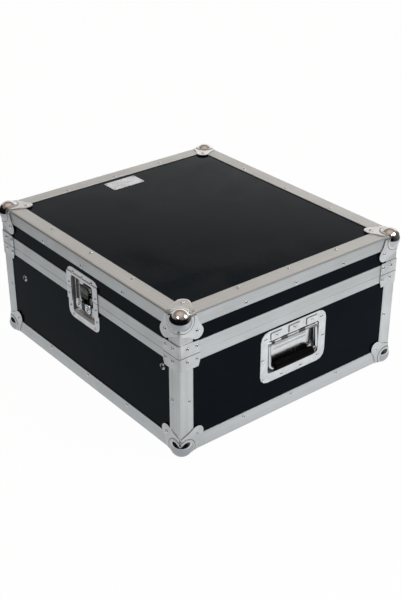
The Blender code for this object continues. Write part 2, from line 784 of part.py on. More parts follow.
def bail_mesh():
    """Bent wire with two eyes on a pivot rod, drawn from the rod's middle."""
    half = HANDLE_OPENING[0] / 2 - BAIL_SIDE_CLEAR - BAIL_RADIUS
    lean = GRIP_DEPTH - ROD_DEPTH
    path = rounded_outline(
        [(-half, 0, 0), (-half, BAIL_LENGTH, BAIL_BEND), (half, BAIL_LENGTH, BAIL_BEND), (half, 0, 0)], 6
    )
    points = [(x, lean * drop / BAIL_LENGTH, -drop) for x, drop in path]
    eye_width = BAIL_RADIUS
    trunnion_end = HANDLE_OPENING[0] / 2 + DISH_SHEET + TRUNNION_RADIUS / 2
    pieces = [
        cylinder(ROD_RADIUS, (-half, 0, 0), (half, 0, 0), 12),
        cylinder(BAIL_EYE_RADIUS, (-half - eye_width, 0, 0), (-half + eye_width, 0, 0), 12),
        cylinder(BAIL_EYE_RADIUS, (half - eye_width, 0, 0), (half + eye_width, 0, 0), 12),
        cylinder(TRUNNION_RADIUS, (-trunnion_end, 0, 0), (trunnion_end, 0, 0), 10),
    ]
    return joined("UNION", tube(points, BAIL_RADIUS, 2), pieces)


def grip_mesh():
    """Moulded grip on the bail's straight, drawn from the rod's middle."""
    bore = BAIL_RADIUS + CLEAR
    half = GRIP_LENGTH / 2
    profile = rounded_outline(
        [(bore, half, 0), (GRIP_RADIUS, half, GRIP_ROUND), (GRIP_RADIUS, -half, GRIP_ROUND), (bore, -half, 0)],
        ARRIS_STEPS,
    )
    grip = turned(profile, 16)
    lean = GRIP_DEPTH - ROD_DEPTH
    grip.transform(Matrix.Translation((0, lean, -BAIL_LENGTH)) @ Matrix.Rotation(math.pi / 2, 4, "Y"))
    return grip


def spring_mesh():
    """Torsion spring round the rod beside the left eye, its leg against the pan floor."""
    coil = ROD_RADIUS + SPRING_WIRE + 2 * CLEAR
    start = -(HANDLE_OPENING[0] / 2 - BAIL_SIDE_CLEAR - 2 * BAIL_RADIUS - SPRING_PITCH)
    steps = 8
    points = []
    for i in range(SPRING_TURNS * steps + 1):
        angle = 2 * math.pi * i / steps
        x = start + SPRING_PITCH * i / steps
        points.append((x, ROD_Y + coil * math.cos(angle), ROD_Z + coil * math.sin(angle)))
    end_x, end_y, end_z = points[-1]
    points.append((end_x, min(end_y, HANDLE_FLOOR - SPRING_WIRE - CLEAR), end_z - SPRING_LEG))
    return tube(points, SPRING_WIRE, 0)


def make_handles():
    dish = handle_dish_mesh()
    bail = bail_mesh()
    grip = grip_mesh()
    spring = spring_mesh()
    for side in ("front", "back"):
        pivot = SIDES[side] @ Matrix.Translation((0, ROD_Y, ROD_Z))
        add_part("handle_dish_" + side, dish, "zinc", SIDES[side])
        add_part("handle_spring_" + side, spring, "zinc", SIDES[side])
        add_part("handle_bail_" + side, bail, "nickel", pivot)
        add_part("handle_grip_" + side, grip, "rubber", pivot)


# Latches, drawn on the left face as the handles are on the front


def latch_surface():
    """Both latch dishes as one surface, joggled over the rims."""
    low = SPLIT_Z - LATCH_BELOW_SPLIT
    high = SPLIT_Z + LATCH_ABOVE_SPLIT
    half = LATCH_FLANGE_WIDTH / 2
    flange = rectangle(-half, low, half, high, LATCH_FLANGE_ROUND)
    pan_half = LATCH_OPENING_WIDTH / 2
    pan_low = SPLIT_Z - LATCH_OPENING_BELOW
    pan_high = SPLIT_Z + LATCH_OPENING_ABOVE
    opening = rectangle(-pan_half, pan_low, pan_half, pan_high, LATCH_OPENING_ROUND)
    bm = dish_surface(flange, opening, LATCH_FACE, LATCH_FLOOR)
    drop = PANEL_FACE
    steps = (SPLIT_Z - JOGGLE_BELOW, SPLIT_Z + JOGGLE_ABOVE)
    for height in (steps[0] - drop, steps[0], steps[1], steps[1] + drop):
        geometry = bm.verts[:] + bm.edges[:] + bm.faces[:]
        bmesh.ops.bisect_plane(bm, geom=geometry, plane_co=(0, 0, height), plane_no=(0, 0, 1))
    for vert in bm.verts:
        if vert.co.y < LATCH_FACE + CLEAR:
            beyond = max(steps[0] - vert.co.z, vert.co.z - steps[1], 0)
            vert.co.y = LATCH_FACE + min(beyond, drop)
    return bm


def cut_at(bm, height, keep_below):
    geometry = bm.verts[:] + bm.edges[:] + bm.faces[:]
    bmesh.ops.bisect_plane(
        bm,
        geom=geometry,
        plane_co=(0, 0, height),
        plane_no=(0, 0, 1),
        clear_outer=keep_below,
        clear_inner=not keep_below,
    )
    return bm


def latch_dish_mesh():
    dish = pressed(cut_at(latch_surface(), BASE_EDGE, True))
    inner = HOOK_WIDTH / 2 + CLEAR
    middle = (HOOK_JOGGLE + GUIDE_HEIGHT) / 2
    low, high = SPINDLE_Z + middle - GUIDE_HEIGHT / 2, SPINDLE_Z + middle + GUIDE_HEIGHT / 2
    front, back = HOOK_FACE, LATCH_FLOOR + DISH_SHEET / 2
    guides = [
        slab([rectangle(inner, low, inner + GUIDE_WIDTH, high)], "Y", front, back),
        slab([rectangle(-inner - GUIDE_WIDTH, low, -inner, high)], "Y", front, back),
    ]
    return joined("UNION", dish, guides)


def catch_dish_mesh():
    dish = pressed(cut_at(latch_surface(), LID_EDGE, False))
    low = LID_EDGE + LIP_ABOVE_SPLIT
    front = hook_front() + HOOK_SHEET + 2 * CLEAR
    half = LIP_WIDTH / 2
    outline = rectangle(-half, low, half, low + LIP_HEIGHT, LIP_HEIGHT / 4)
    return joined("UNION", dish, [slab([outline], "Y", front, LATCH_FLOOR + DISH_SHEET / 2)])


def hook_front():
    """Depth of the hook's outer end, just behind the folded wings."""
    return WING_AXIS_Y + BARREL_RADIUS + 2 * CLEAR


def hook_mesh():
    """Joggled strip with a cross slot for the shaft and the crank, drawn from the spindle."""
    out, back = hook_front(), HOOK_FACE
    sheet = HOOK_SHEET
    bend = HOOK_JOGGLE
    bent = HOOK_JOGGLE + HOOK_JOGGLE_RUN
    curl = sheet / 2
    corners = [
        (back, -HOOK_BELOW, 0),
        (back + sheet, -HOOK_BELOW, 0),
        (back + sheet, bend + curl, sheet),
        (out + sheet, bent + curl, sheet),
        (out + sheet, HOOK_ABOVE, 0),
        (out - curl, HOOK_ABOVE, 0),
        (out - curl, HOOK_ABOVE - sheet, 0),
        (out, HOOK_ABOVE - 2 * sheet, 0),
        (out, bent - curl, sheet),
        (back, bend - curl, sheet),
    ]
    profile = rounded_outline(corners, 2)
    hook = slab([profile], "X", -HOOK_WIDTH / 2, HOOK_WIDTH / 2)
    shaft_half = SHAFT_RADIUS + CLEAR
    crank_half = CRANK_RADIUS + CRANK_CLEAR
    travel = 2 * CRANK_THROW
    front, rear = back - sheet, back + 2 * sheet
    shaft_slot = rectangle(-shaft_half, -travel - shaft_half, shaft_half, shaft_half)
    reach = CRANK_THROW + CRANK_RADIUS + CLEAR
    crank_slot = rectangle(-reach, -CRANK_THROW - crank_half, reach, -CRANK_THROW + crank_half)
    slots = [slab([shaft_slot], "Y", front, rear), slab([crank_slot], "Y", front, rear)]
    return joined("DIFFERENCE", hook, slots)


def spindle_mesh():
    """Drum with a yoke for the wings in front, and the shaft and crank behind, drawn from its axis."""
    drum = cylinder(DRUM_RADIUS, (0, DRUM_FACE, 0), (0, DRUM_BACK, 0), 24)
    middle = (DRUM_FACE + DRUM_BACK) / 2
    shaft = cylinder(SHAFT_RADIUS, (0, middle, 0), (0, LATCH_FLOOR - CLEAR, 0), 12)
    crank = cylinder(CRANK_RADIUS, (0, middle, -CRANK_THROW), (0, HOOK_BACK - CLEAR, -CRANK_THROW), 12)
    ear_low = BARREL_LENGTH / 2 + CLEAR
    ear_top = WING_AXIS_Y - WING_PIN_RADIUS - 2 * CLEAR
    pieces = [shaft, crank]
    for sign in (-1, 1):
        low, high = sorted((sign * ear_low, sign * (ear_low + EAR_THICKNESS)))
        corners = [
            (-EAR_HALF_WIDTH, middle, 0),
            (EAR_HALF_WIDTH, middle, 0),
            (EAR_HALF_WIDTH, ear_top, BARREL_RADIUS),
            (-EAR_HALF_WIDTH, ear_top, BARREL_RADIUS),
        ]
        pieces.append(slab([rounded_outline(corners, 2)], "Z", low, high))
    body = joined("UNION", drum, pieces)
    reach = ear_low + 2 * EAR_THICKNESS
    radius = WING_PIN_RADIUS + WING_PIN_CLEAR
    holes = []
    for x in (-WING_AXIS_OUT, WING_AXIS_OUT):
        holes.append(cylinder(radius, (x, WING_AXIS_Y, -reach), (x, WING_AXIS_Y, reach), 8))
    return joined("DIFFERENCE", body, holes)


def wing_mesh():
    """Right wing, drawn from its hinge axis, with a barrel and pins that run in the yoke."""
    root = WING_ROOT - WING_AXIS_OUT
    reach = WING_REACH - WING_AXIS_OUT
    narrow = BARREL_LENGTH / 2
    corners = [
        (0, -narrow, 0),
        (root, -narrow, 0),
        (root, -WING_HALF_HEIGHT, WING_SHEET / 2),
        (reach, -WING_HALF_HEIGHT, WING_ROUND),
        (reach, WING_HALF_HEIGHT, WING_ROUND),
        (root, WING_HALF_HEIGHT, WING_SHEET / 2),
        (root, narrow, 0),
        (0, narrow, 0),
    ]
    half = WING_SHEET / 2
    plate = slab([rounded_outline(corners, DISH_STEPS)], "Y", -half, half)
    pin_end = BARREL_LENGTH / 2 + CLEAR + EAR_THICKNESS
    pieces = [
        cylinder(BARREL_RADIUS, (0, 0, -narrow), (0, 0, narrow), 12),
        cylinder(WING_PIN_RADIUS, (0, 0, -pin_end), (0, 0, pin_end), 8),
    ]
    return joined("UNION", plate, pieces)


def make_latches():
    dish, catch = latch_dish_mesh(), catch_dish_mesh()
    hook, spindle, wing = hook_mesh(), spindle_mesh(), wing_mesh()
    for side in ("left", "right"):
        axis = SIDES[side] @ Matrix.Translation((0, 0, SPINDLE_Z))
        add_part("latch_dish_" + side, dish, "zinc", SIDES[side])
        add_part("catch_dish_" + side, catch, "zinc", SIDES[side])
        add_part("latch_hook_" + side, hook, "zinc", axis)
        add_part("latch_spindle_" + side, spindle, "nickel", axis)
        for name, sign in (("a", 1), ("b", -1)):
            hinge = axis @ Matrix.Translation((sign * WING_AXIS_OUT, WING_AXIS_Y, 0))
            copy = wing if sign > 0 else mirrored_wing(wing)
            add_part("latch_wing_" + side + "_" + name, copy, "nickel", hinge)


def mirrored_wing(wing):
    copy = wing.copy()
    copy.transform(Matrix.Diagonal((-1, 1, 1, 1)))
    copy.flip_normals()
    return copy


clear_scene()
PARTS = new_collection("mixer_flight_case")
CUTTERS = new_collection("cutters")
MATERIALS = {
    "laminate": new_material("laminate", (0.013, 0.014, 0.017), 0.38, 0.0),
    "aluminium": new_material("aluminium", (0.56, 0.56, 0.55), 0.38, 1.0),
    "zinc": new_material("zinc", (0.68, 0.69, 0.70), 0.28, 1.0),
    "nickel": new_material("nickel", (0.74, 0.73, 0.71), 0.1, 1.0),
    "rubber": new_material("rubber", (0.012, 0.012, 0.013), 0.55, 0.0),
    "black_steel": new_material("black_steel", (0.02, 0.02, 0.022), 0.45, 0.4),
}
make_frames()
make_posts()
make_panels()
make_corners()
make_rails()
make_handles()
make_latches()
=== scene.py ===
import math

import bmesh
import bpy
from mathutils import Matrix, Vector


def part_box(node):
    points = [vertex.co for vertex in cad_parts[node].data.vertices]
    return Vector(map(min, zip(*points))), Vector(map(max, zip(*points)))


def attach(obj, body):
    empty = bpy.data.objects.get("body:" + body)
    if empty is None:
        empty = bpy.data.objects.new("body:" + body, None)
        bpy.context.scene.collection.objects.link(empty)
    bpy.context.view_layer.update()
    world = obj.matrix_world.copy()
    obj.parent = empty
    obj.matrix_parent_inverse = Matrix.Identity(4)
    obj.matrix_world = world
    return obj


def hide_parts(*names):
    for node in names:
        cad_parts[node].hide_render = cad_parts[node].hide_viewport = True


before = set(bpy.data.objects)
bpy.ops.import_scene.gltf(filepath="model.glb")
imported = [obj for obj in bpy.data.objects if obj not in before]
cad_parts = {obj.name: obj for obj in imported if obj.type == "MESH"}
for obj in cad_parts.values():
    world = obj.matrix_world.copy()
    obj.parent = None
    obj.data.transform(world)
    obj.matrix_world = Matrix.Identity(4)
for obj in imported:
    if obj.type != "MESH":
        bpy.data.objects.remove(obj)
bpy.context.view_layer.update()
baseBody, lidBody = "case_base", "lid"

# The case's own places, read from the CAD nodes
halfWidth, halfDepth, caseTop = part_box("top_edge_frame")[1]
bottomLow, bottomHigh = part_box("bottom_edge_frame")
caseBottom = bottomLow.z
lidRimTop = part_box("lid_rim_frame")[1].z
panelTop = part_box("lid_top_panel")[1].z
splitZ = (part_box("lid_brace_front_left")[0].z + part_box("base_brace_front_left")[1].z) / 2
middleZ = (caseTop + caseBottom) / 2

sideTurns = {"front": 0.0, "right": math.pi / 2, "back": math.pi, "left": -math.pi / 2}
fourCorners = ((-1, -1), (1, -1), (1, 1), (-1, 1))


def sidePlace(side):
    # Frame of a face: x along it, y into the case, z up, with its origin on the edging's face
    out = halfDepth if side in ("front", "back") else halfWidth
    turn = Matrix.Rotation(sideTurns[side], 4, "Z")
    return turn @ Matrix.Translation((0, -out, 0))


def halfLength(side):
    return halfWidth if side in ("front", "back") else halfDepth


# Node helpers


def plug(tree, socket, value):
    if isinstance(value, bpy.types.NodeSocket):
        tree.links.new(value, socket)
    else:
        socket.default_value = value


def plugAll(tree, node, inputs):
    for name, value in inputs.items():
        plug(tree, node.inputs[name], value)
    return node


def addNode(tree, kind, inputs=None, **settings):
    node = tree.nodes.new("ShaderNode" + kind)
    for name, value in settings.items():
        setattr(node, name, value)
    return plugAll(tree, node, inputs or {})


def calc(tree, operation, *values, clamp=False):
    node = addNode(tree, "Math", operation=operation, use_clamp=clamp)
    for index, value in enumerate(values):
        plug(tree, node.inputs[index], value)
    return node.outputs[0]


def times(tree, first, second):
    return calc(tree, "MULTIPLY", first, second)


def highest(tree, first, second):
    return calc(tree, "MAXIMUM", first, second)


def rest(tree, share):
    return calc(tree, "SUBTRACT", 1.0, share)


def apart(tree, first, second):
    return calc(tree, "ABSOLUTE", calc(tree, "SUBTRACT", first, second))


def addShares(tree, start, *shares):
    for value, share in shares:
        start = calc(tree, "ADD", start, times(tree, value, share))
    return start


def remap(tree, value, fromMin, fromMax, toMin=0.0, toMax=1.0):
    node = addNode(tree, "MapRange")
    for index, item in enumerate((value, fromMin, fromMax, toMin, toMax)):
        plug(tree, node.inputs[index], item)
    return node.outputs[0]


def mixColor(tree, factor, first, second):
    inputs = {0: factor, 6: first, 7: second}
    return addNode(tree, "Mix", data_type="RGBA", inputs=inputs).outputs[2]


def mixValue(tree, factor, first, second):
    inputs = {0: factor, 2: first, 3: second}
    return addNode(tree, "Mix", data_type="FLOAT", inputs=inputs).outputs[0]


def objectPlace(tree):
    return addNode(tree, "TexCoord").outputs["Object"]


def splitVector(tree, vector):
    return addNode(tree, "SeparateXYZ", {"Vector": vector}).outputs


def placeParts(tree):
    return splitVector(tree, objectPlace(tree))


def joinVector(tree, x, y, z=0.0):
    return addNode(tree, "CombineXYZ", {"X": x, "Y": y, "Z": z}).outputs[0]


def calcVector(tree, operation, first, second):
    inputs = {0: first, 1: second}
    return addNode(tree, "VectorMath", inputs, operation=operation).outputs


def normalHeight(tree):
    return splitVector(tree, addNode(tree, "NewGeometry").outputs["Normal"])[2]


def addNoise(tree, place, scale, detail, distortion=0.0, roughness=0.5):
    inputs = {"Vector": place, "Scale": scale, "Detail": detail}
    inputs.update({"Distortion": distortion, "Roughness": roughness})
    return addNode(tree, "TexNoise", inputs).outputs["Fac"]


def newGroup(name, inputs, outputs):
    group = bpy.data.node_groups.new(name, "ShaderNodeTree")
    for label, default in inputs.items():
        socket = group.interface.new_socket(label, in_out="INPUT", socket_type="NodeSocketFloat")
        socket.default_value = default
    for label in outputs:
        group.interface.new_socket(label, in_out="OUTPUT", socket_type="NodeSocketFloat")
    given = group.nodes.new("NodeGroupInput").outputs
    return group, given, group.nodes.new("NodeGroupOutput")


def useGroup(tree, group, inputs=None):
    return addNode(tree, "Group", inputs, node_tree=group).outputs


# Shared effects


def beyondFaces(tree, parts):
    # How far a place lies outside the edging's side faces, and outside its front and back faces
    halves = (halfWidth, halfDepth)
    across = [calc(tree, "ABSOLUTE", part) for part in parts[:2]]
    return [calc(tree, "SUBTRACT", part, half) for part, half in zip(across, halves)]


def makeCaseSides():
    # Where a place lies against the edging's faces and the split
    group, _, out = newGroup("caseSides", {}, ["Side", "Front", "Outside", "Above split"])
    parts = placeParts(group)
    side, front = beyondFaces(group, parts)
    above = calc(group, "SUBTRACT", parts[2], splitZ)
    outside = highest(group, side, front)
    plugAll(group, out, {"Side": side, "Front": front, "Outside": outside, "Above split": above})
    return group


extrusion = {"along": 3.0, "line": 1.0, "streak": 0.18}


def makeExtrusionLines():
    # Fine die lines along each length of edging, mitred at the case's corners
    inputs = {"Lines": 900.0, "Upright": 0.0}
    group, given, out = newGroup("extrusionLines", inputs, ["Line", "Streak"])
    parts = placeParts(group)
    side, front = beyondFaces(group, parts)
    alongX = calc(group, "LESS_THAN", side, front)
    alongY = rest(group, alongX)
    level = rest(group, given["Upright"])
    shares = (times(group, alongX, level), times(group, alongY, level), given["Upright"])
    scales = [mixValue(group, share, given["Lines"], extrusion["along"]) for share in shares]
    place = joinVector(group, *[times(group, *pair) for pair in zip(parts, scales)])
    line = addNoise(group, place, extrusion["line"], 2.0)
    streak = addNoise(group, place, extrusion["streak"], 1.0)
    plugAll(group, out, {"Line": line, "Streak": streak})
    return group


handling = {
    "smudgeFrom": 0.38,
    "smudgeTo": 0.68,
    "scratchHalf": 0.012,
    "scratchFrom": 0.55,
    "scratchTo": 0.7,
    # Each layer of scratches: how far it is turned, and how it is stretched
    "layers": [
        (0.5, (60.0, 4.0, 30.0)),
        (-0.9, (5.0, 70.0, 24.0)),
        (1.4, (28.0, 9.0, 60.0)),
    ],
}


def makeHandling():
    # Smudges and short scratches from use
    inputs = {"Scale": 12.0, "Scratches": 0.5}
    group, given, out = newGroup("handlingMarks", inputs, ["Smudge", "Scratch"])
    h = handling
    place = objectPlace(group)
    cloud = addNoise(group, place, given["Scale"], 5.0, distortion=0.4, roughness=0.62)
    total = None
    for turn, stretch in h["layers"]:
        bend = {"Vector": place, "Rotation": (turn, turn * 0.6, turn), "Scale": stretch}
        bent = addNode(group, "Mapping", bend).outputs[0]
        inputs = {"Vector": bent, "Scale": 1.0}
        cells = addNode(group, "TexVoronoi", inputs, feature="DISTANCE_TO_EDGE")
        line = remap(group, cells.outputs["Distance"], 0.0, h["scratchHalf"], 1.0, 0.0)
        where = remap(group, addNoise(group, bent, 0.7, 1.0), h["scratchFrom"], h["scratchTo"])
        kept = times(group, line, where)
        total = kept if total is None else highest(group, total, kept)
    smudge = remap(group, cloud, h["smudgeFrom"], h["smudgeTo"])
    scratch = calc(group, "MULTIPLY", total, given["Scratches"], clamp=True)
    plugAll(group, out, {"Smudge": smudge, "Scratch": scratch})
    return group


def makePebble():
    # Small rounded grain, as on laminate and moulded rubber
    inputs = {"Grains": 700.0, "Softness": 0.5}
    group, given, out = newGroup("pebbleGrain", inputs, ["Height", "Speckle"])
    place = objectPlace(group)
    inputs = {"Vector": place, "Scale": given["Grains"], "Smoothness": 0.6}
    cells = addNode(group, "TexVoronoi", inputs, feature="SMOOTH_F1")
    soft = addNoise(group, place, times(group, given["Grains"], 0.31), 3.0)
    height = mixValue(group, given["Softness"], cells.outputs["Distance"], soft)
    plugAll(group, out, {"Height": height, "Speckle": soft})
    return group


def makeRipple():
    # Soft unevenness of plated sheet
    group, given, out = newGroup("sheetRipple", {"Scale": 110.0}, ["Height"])
    ripple = addNoise(group, objectPlace(group), given["Scale"], 2.0)
    plugAll(group, out, {"Height": ripple})
    return group


caseSides = makeCaseSides()
extrusionLines = makeExtrusionLines()
handlingMarks = makeHandling()
pebbleGrain = makePebble()
sheetRipple = makeRipple()
print("shared effects made")


# Materials


def newMaterial(name):
    material = bpy.data.materials.new(name)
    material.use_nodes = True
    tree = material.node_tree
    return material, tree, tree.nodes["Principled BSDF"]


def dress(tree, shader, color, rough):
    plugAll(tree, shader, {"Base Color": color, "Roughness": rough})


def addMarks(tree, scale, scratches):
    marks = useGroup(tree, handlingMarks, {"Scale": scale, "Scratches": scratches})
    return marks["Smudge"], marks["Scratch"]


def addPebble(tree, grains, softness):
    return useGroup(tree, pebbleGrain, {"Grains": grains, "Softness": softness})


def addBump(tree, shader, height, strength, distance):
    inputs = {"Height": height, "Strength": strength, "Distance": distance}
    plug(tree, shader.inputs["Normal"], addNode(tree, "Bump", inputs).outputs[0])


laminateLook = {
    "outside": (0.0012, 0.0034, 0.0058, 1),
    "grain": (0.0028, 0.0054, 0.0082, 1),
    "dust": (0.013, 0.0155, 0.0185, 1),
    "pebble": (650.0, 0.45),
    "marks": (7.0, 0.35),
    "dustShare": 0.14,
    "scratchShare": 0.5,
    "ply": (0.30, 0.185, 0.095, 1),
    "plyDark": (0.19, 0.105, 0.05, 1),
    "plyStretch": (9.0, 190.0, 190.0),
    "plyRoughness": 0.75,
    "roughness": 0.13,
    "smudgeRoughness": 0.12,
    "specular": 0.022,
    "bump": (0.12, 0.0002),
}


def makeLaminate():
    # Black laminate outside and bare plywood inside
    look = laminateLook
    material, tree, shader = newMaterial("laminatedPly")
    pebble = addPebble(tree, *look["pebble"])
    smudge, scratch = addMarks(tree, *look["marks"])
    speckled = mixColor(tree, pebble["Speckle"], look["outside"], look["grain"])
    dusty = mixColor(tree, times(tree, smudge, look["dustShare"]), speckled, look["dust"])
    skin = mixColor(tree, times(tree, scratch, look["scratchShare"]), dusty, look["dust"])
    normal = addNode(tree, "NewGeometry").outputs["Normal"]
    place = objectPlace(tree)
    outwards = calcVector(tree, "SUBTRACT", place, (0, 0, middleZ))["Vector"]
    facing = calcVector(tree, "DOT_PRODUCT", outwards, normal)["Value"]
    inside = calc(tree, "LESS_THAN", facing, 0.0)
    inputs = {"Vector": place, "Scale": look["plyStretch"]}
    stretched = addNode(tree, "Mapping", inputs).outputs[0]
    veneer = addNoise(tree, stretched, 1.0, 4.0, distortion=0.6)
    ply = mixColor(tree, remap(tree, veneer, 0.35, 0.7), look["ply"], look["plyDark"])
    rough = addShares(tree, look["roughness"], (smudge, look["smudgeRoughness"]))
    plugAll(tree, shader, {
        "Base Color": mixColor(tree, inside, skin, ply),
        "Roughness": mixValue(tree, inside, rough, look["plyRoughness"]),
        "Specular IOR Level": look["specular"],
    })
    addBump(tree, shader, mixValue(tree, inside, pebble["Height"], veneer), *look["bump"])
    return material


edgingLook = {
    "pale": (0.63, 0.64, 0.64, 1),
    "dark": (0.58, 0.585, 0.58, 1),
    "postPale": (0.67, 0.67, 0.665, 1),
    "smudgeShare": 0.25,
    "metallic": 0.92,
    "roughness": 0.36,
    "lines": 1100.0,
    "lineRoughness": 0.12,
    "marks": (16.0, 0.7),
    "smudge": 0.08,
    "scratch": -0.1,
    "scratchDepth": -0.6,
    "lipShade": (0.16, 0.16, 0.16, 1),
    "lipShadeHalf": 0.0009,
    # Painted shade: dark bands on the lips that face upwards dim their lamp highlight, and a
    # lighter band lies at the split
    "lipShadeBands": [(lidRimTop, 0.8), (splitZ, 0.3), (bottomHigh.z, 0.8)],
    "bump": (0.25, 0.00012),
}


def makeEdging(name, upright):
    look = edgingLook
    material, tree, shader = newMaterial(name)
    pale = look["postPale" if upright else "pale"]
    lines = useGroup(tree, extrusionLines, {"Lines": look["lines"], "Upright": upright})
    smudge, scratch = addMarks(tree, *look["marks"])
    streaked = mixColor(tree, remap(tree, lines["Streak"], 0.3, 0.7), look["dark"], pale)
    smudged = mixColor(tree, times(tree, smudge, look["smudgeShare"]), streaked, look["dark"])
    height = placeParts(tree)[2]
    half = look["lipShadeHalf"]
    # Painted shade: dark bands at the lip heights dim the lips' highlight
    lipShade = 0.0
    for level, share in look["lipShadeBands"]:
        band = remap(tree, apart(tree, height, level), half * 0.6, half, share, 0.0)
        lipShade = highest(tree, lipShade, band)
    line = lines["Line"]
    wear = ((line, look["lineRoughness"]), (smudge, look["smudge"]), (scratch, look["scratch"]))
    rough = addShares(tree, look["roughness"], *wear)
    dress(tree, shader, mixColor(tree, lipShade, smudged, look["lipShade"]), rough)
    shader.inputs["Metallic"].default_value = look["metallic"]
    addBump(tree, shader, addShares(tree, line, (scratch, look["scratchDepth"])), *look["bump"])
    return material


# What the plated metals share; smudge, scratch and painted shade are what each adds to the
# roughness
plateWear = {
    "markScale": 42.0,
    "smudgeShare": 0.6,
    "smudge": 0.08,
    "scratch": 0.12,
    "paintedShade": 0.4,
    "rippleScale": 110.0,
    "rippleBump": 0.3,
    "rippleDepth": 0.0003,
}


def newMetal(name, scratches=0.6):
    material, tree, shader = newMaterial(name)
    shader.inputs["Metallic"].default_value = 1.0
    return material, tree, shader, *addMarks(tree, plateWear["markScale"], scratches)


def smudgedColor(tree, smudge, look, share=plateWear["smudgeShare"]):
    return mixColor(tree, times(tree, smudge, share), look["pale"], look["dark"])


def addRipple(tree, shader, depth=plateWear["rippleDepth"]):
    ripple = useGroup(tree, sheetRipple, {"Scale": plateWear["rippleScale"]})
    addBump(tree, shader, ripple["Height"], plateWear["rippleBump"], depth)


platedLooks = {
    "zincPlate": {
        "pale": (0.56, 0.56, 0.59, 1), "dark": (0.45, 0.455, 0.48, 1), "rough": 0.24
    },
    "nickelPlate": {
        "pale": (0.86, 0.855, 0.85, 1), "dark": (0.74, 0.735, 0.735, 1), "rough": 0.07,
        "ripple": 0.0002,
    },
    "darkSteel": {
        "pale": (0.085, 0.083, 0.062, 1), "dark": (0.02, 0.02, 0.016, 1), "rough": 0.22
    },
    "rivetMetal": {
        "pale": (0.80, 0.80, 0.81, 1), "dark": (0.60, 0.60, 0.61, 1), "rough": 0.1,
        "ripple": 0.0,
    },
}


def makePlated(name):
    look, wear = platedLooks[name], plateWear
    material, tree, shader, smudge, scratch = newMetal(name)
    tinted = smudgedColor(tree, smudge, look, 0.5)
    marks = ((smudge, wear["smudge"]), (scratch, wear["scratch"]))
    color = mixColor(tree, times(tree, scratch, 0.4), tinted, look["dark"])
    dress(tree, shader, color, addShares(tree, look["rough"], *marks))
    addRipple(tree, shader, look.get("ripple", wear["rippleDepth"]))
    return material


hookLook = {
    # The paler olive band, then the near-black painted shade on the rest of the hook
    "bare": (0.11, 0.107, 0.08, 1),
    "underShade": (0.012, 0.012, 0.010, 1),
    "bandDrop": 0.0103,
    "bandHalf": 0.0052,
    "soft": 0.0012,
    "roughness": 0.2,
}


def makeHookSteel():
    # Steel painted nearly black as the hook's shade, except a paler olive band on its upper part;
    # smudges darken it too
    look = hookLook
    material, tree, shader, smudge, scratch = newMetal("hookSteel")
    height = placeParts(tree)[2]
    away = apart(tree, height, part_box("latch_hook_left")[1].z - look["bandDrop"])
    hookShade = remap(tree, away, look["bandHalf"] - look["soft"], look["bandHalf"], 0.1, 1.0)
    hookShade = highest(tree, hookShade, times(tree, smudge, 0.5))
    color = mixColor(tree, hookShade, look["bare"], look["underShade"])
    rough = addShares(tree, look["roughness"], (scratch, plateWear["scratch"]))
    dress(tree, shader, color, rough)
    return material


wingLook = {
    "pale": (0.84, 0.84, 0.86, 1),
    # The near-black colour of the painted shade
    "dark": (0.03, 0.03, 0.03, 1),
    "bossOut": 0.0148,
    "creases": [(0.0014, 0.0034), (0.0064, 0.0076)],
    "creaseShade": 0.92,
    "rootHalf": 0.0068,
    "rootSoft": 0.0012,
    "rootShade": 0.9,
    "roughness": 0.1,
}


def makeWingPlate():
    # Polished wings, with painted shade in the creases of the pressed ring and round the hinge
    # pins
    w = wingLook
    material, tree, shader, smudge, _ = newMetal("wingPlate")
    parts = placeParts(tree)
    low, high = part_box("latch_wing_left_a")
    along = calc(tree, "ABSOLUTE", parts[1])
    boss = (w["bossOut"], (low.z + high.z) / 2, 0)
    radius = calcVector(tree, "DISTANCE", joinVector(tree, along, parts[2]), boss)["Value"]
    # Painted shade round the hinge pins and in the ring's creases
    paintedShade = remap(tree, along, w["rootHalf"] - w["rootSoft"], w["rootHalf"], w["rootShade"], 0.0)
    for start, end in w["creases"]:
        away, width = apart(tree, radius, (start + end) / 2), end - start
        crease = remap(tree, away, width * 0.35, width * 0.55, w["creaseShade"], 0.0)
        paintedShade = highest(tree, paintedShade, crease)
    marks = ((paintedShade, plateWear["paintedShade"]), (smudge, plateWear["smudge"]))
    color = mixColor(tree, paintedShade, w["pale"], w["dark"])
    dress(tree, shader, color, addShares(tree, w["roughness"], *marks))
    return material


pressedLook = {
    "pale": (0.69, 0.685, 0.68, 1),
    "dark": (0.51, 0.505, 0.50, 1),
    # The near-black colour of the painted shade
    "wall": (0.03, 0.03, 0.035, 1),
    "wallShade": 0.9,
    "edgeShade": 0.8,
    "level": (0.3, 0.8),
    "jointHalf": 0.0008,
    "shadeDrop": (-0.020, -0.008),
    "shadeHalf": 0.018,
    "roughness": 0.17,
    # Depths behind the edging's face, from and to
    "flange": (-0.0014, -0.0011),
    "flangeFoot": (-0.0001, 0.0002),
    "wallTop": (0.0008, 0.0018),
}


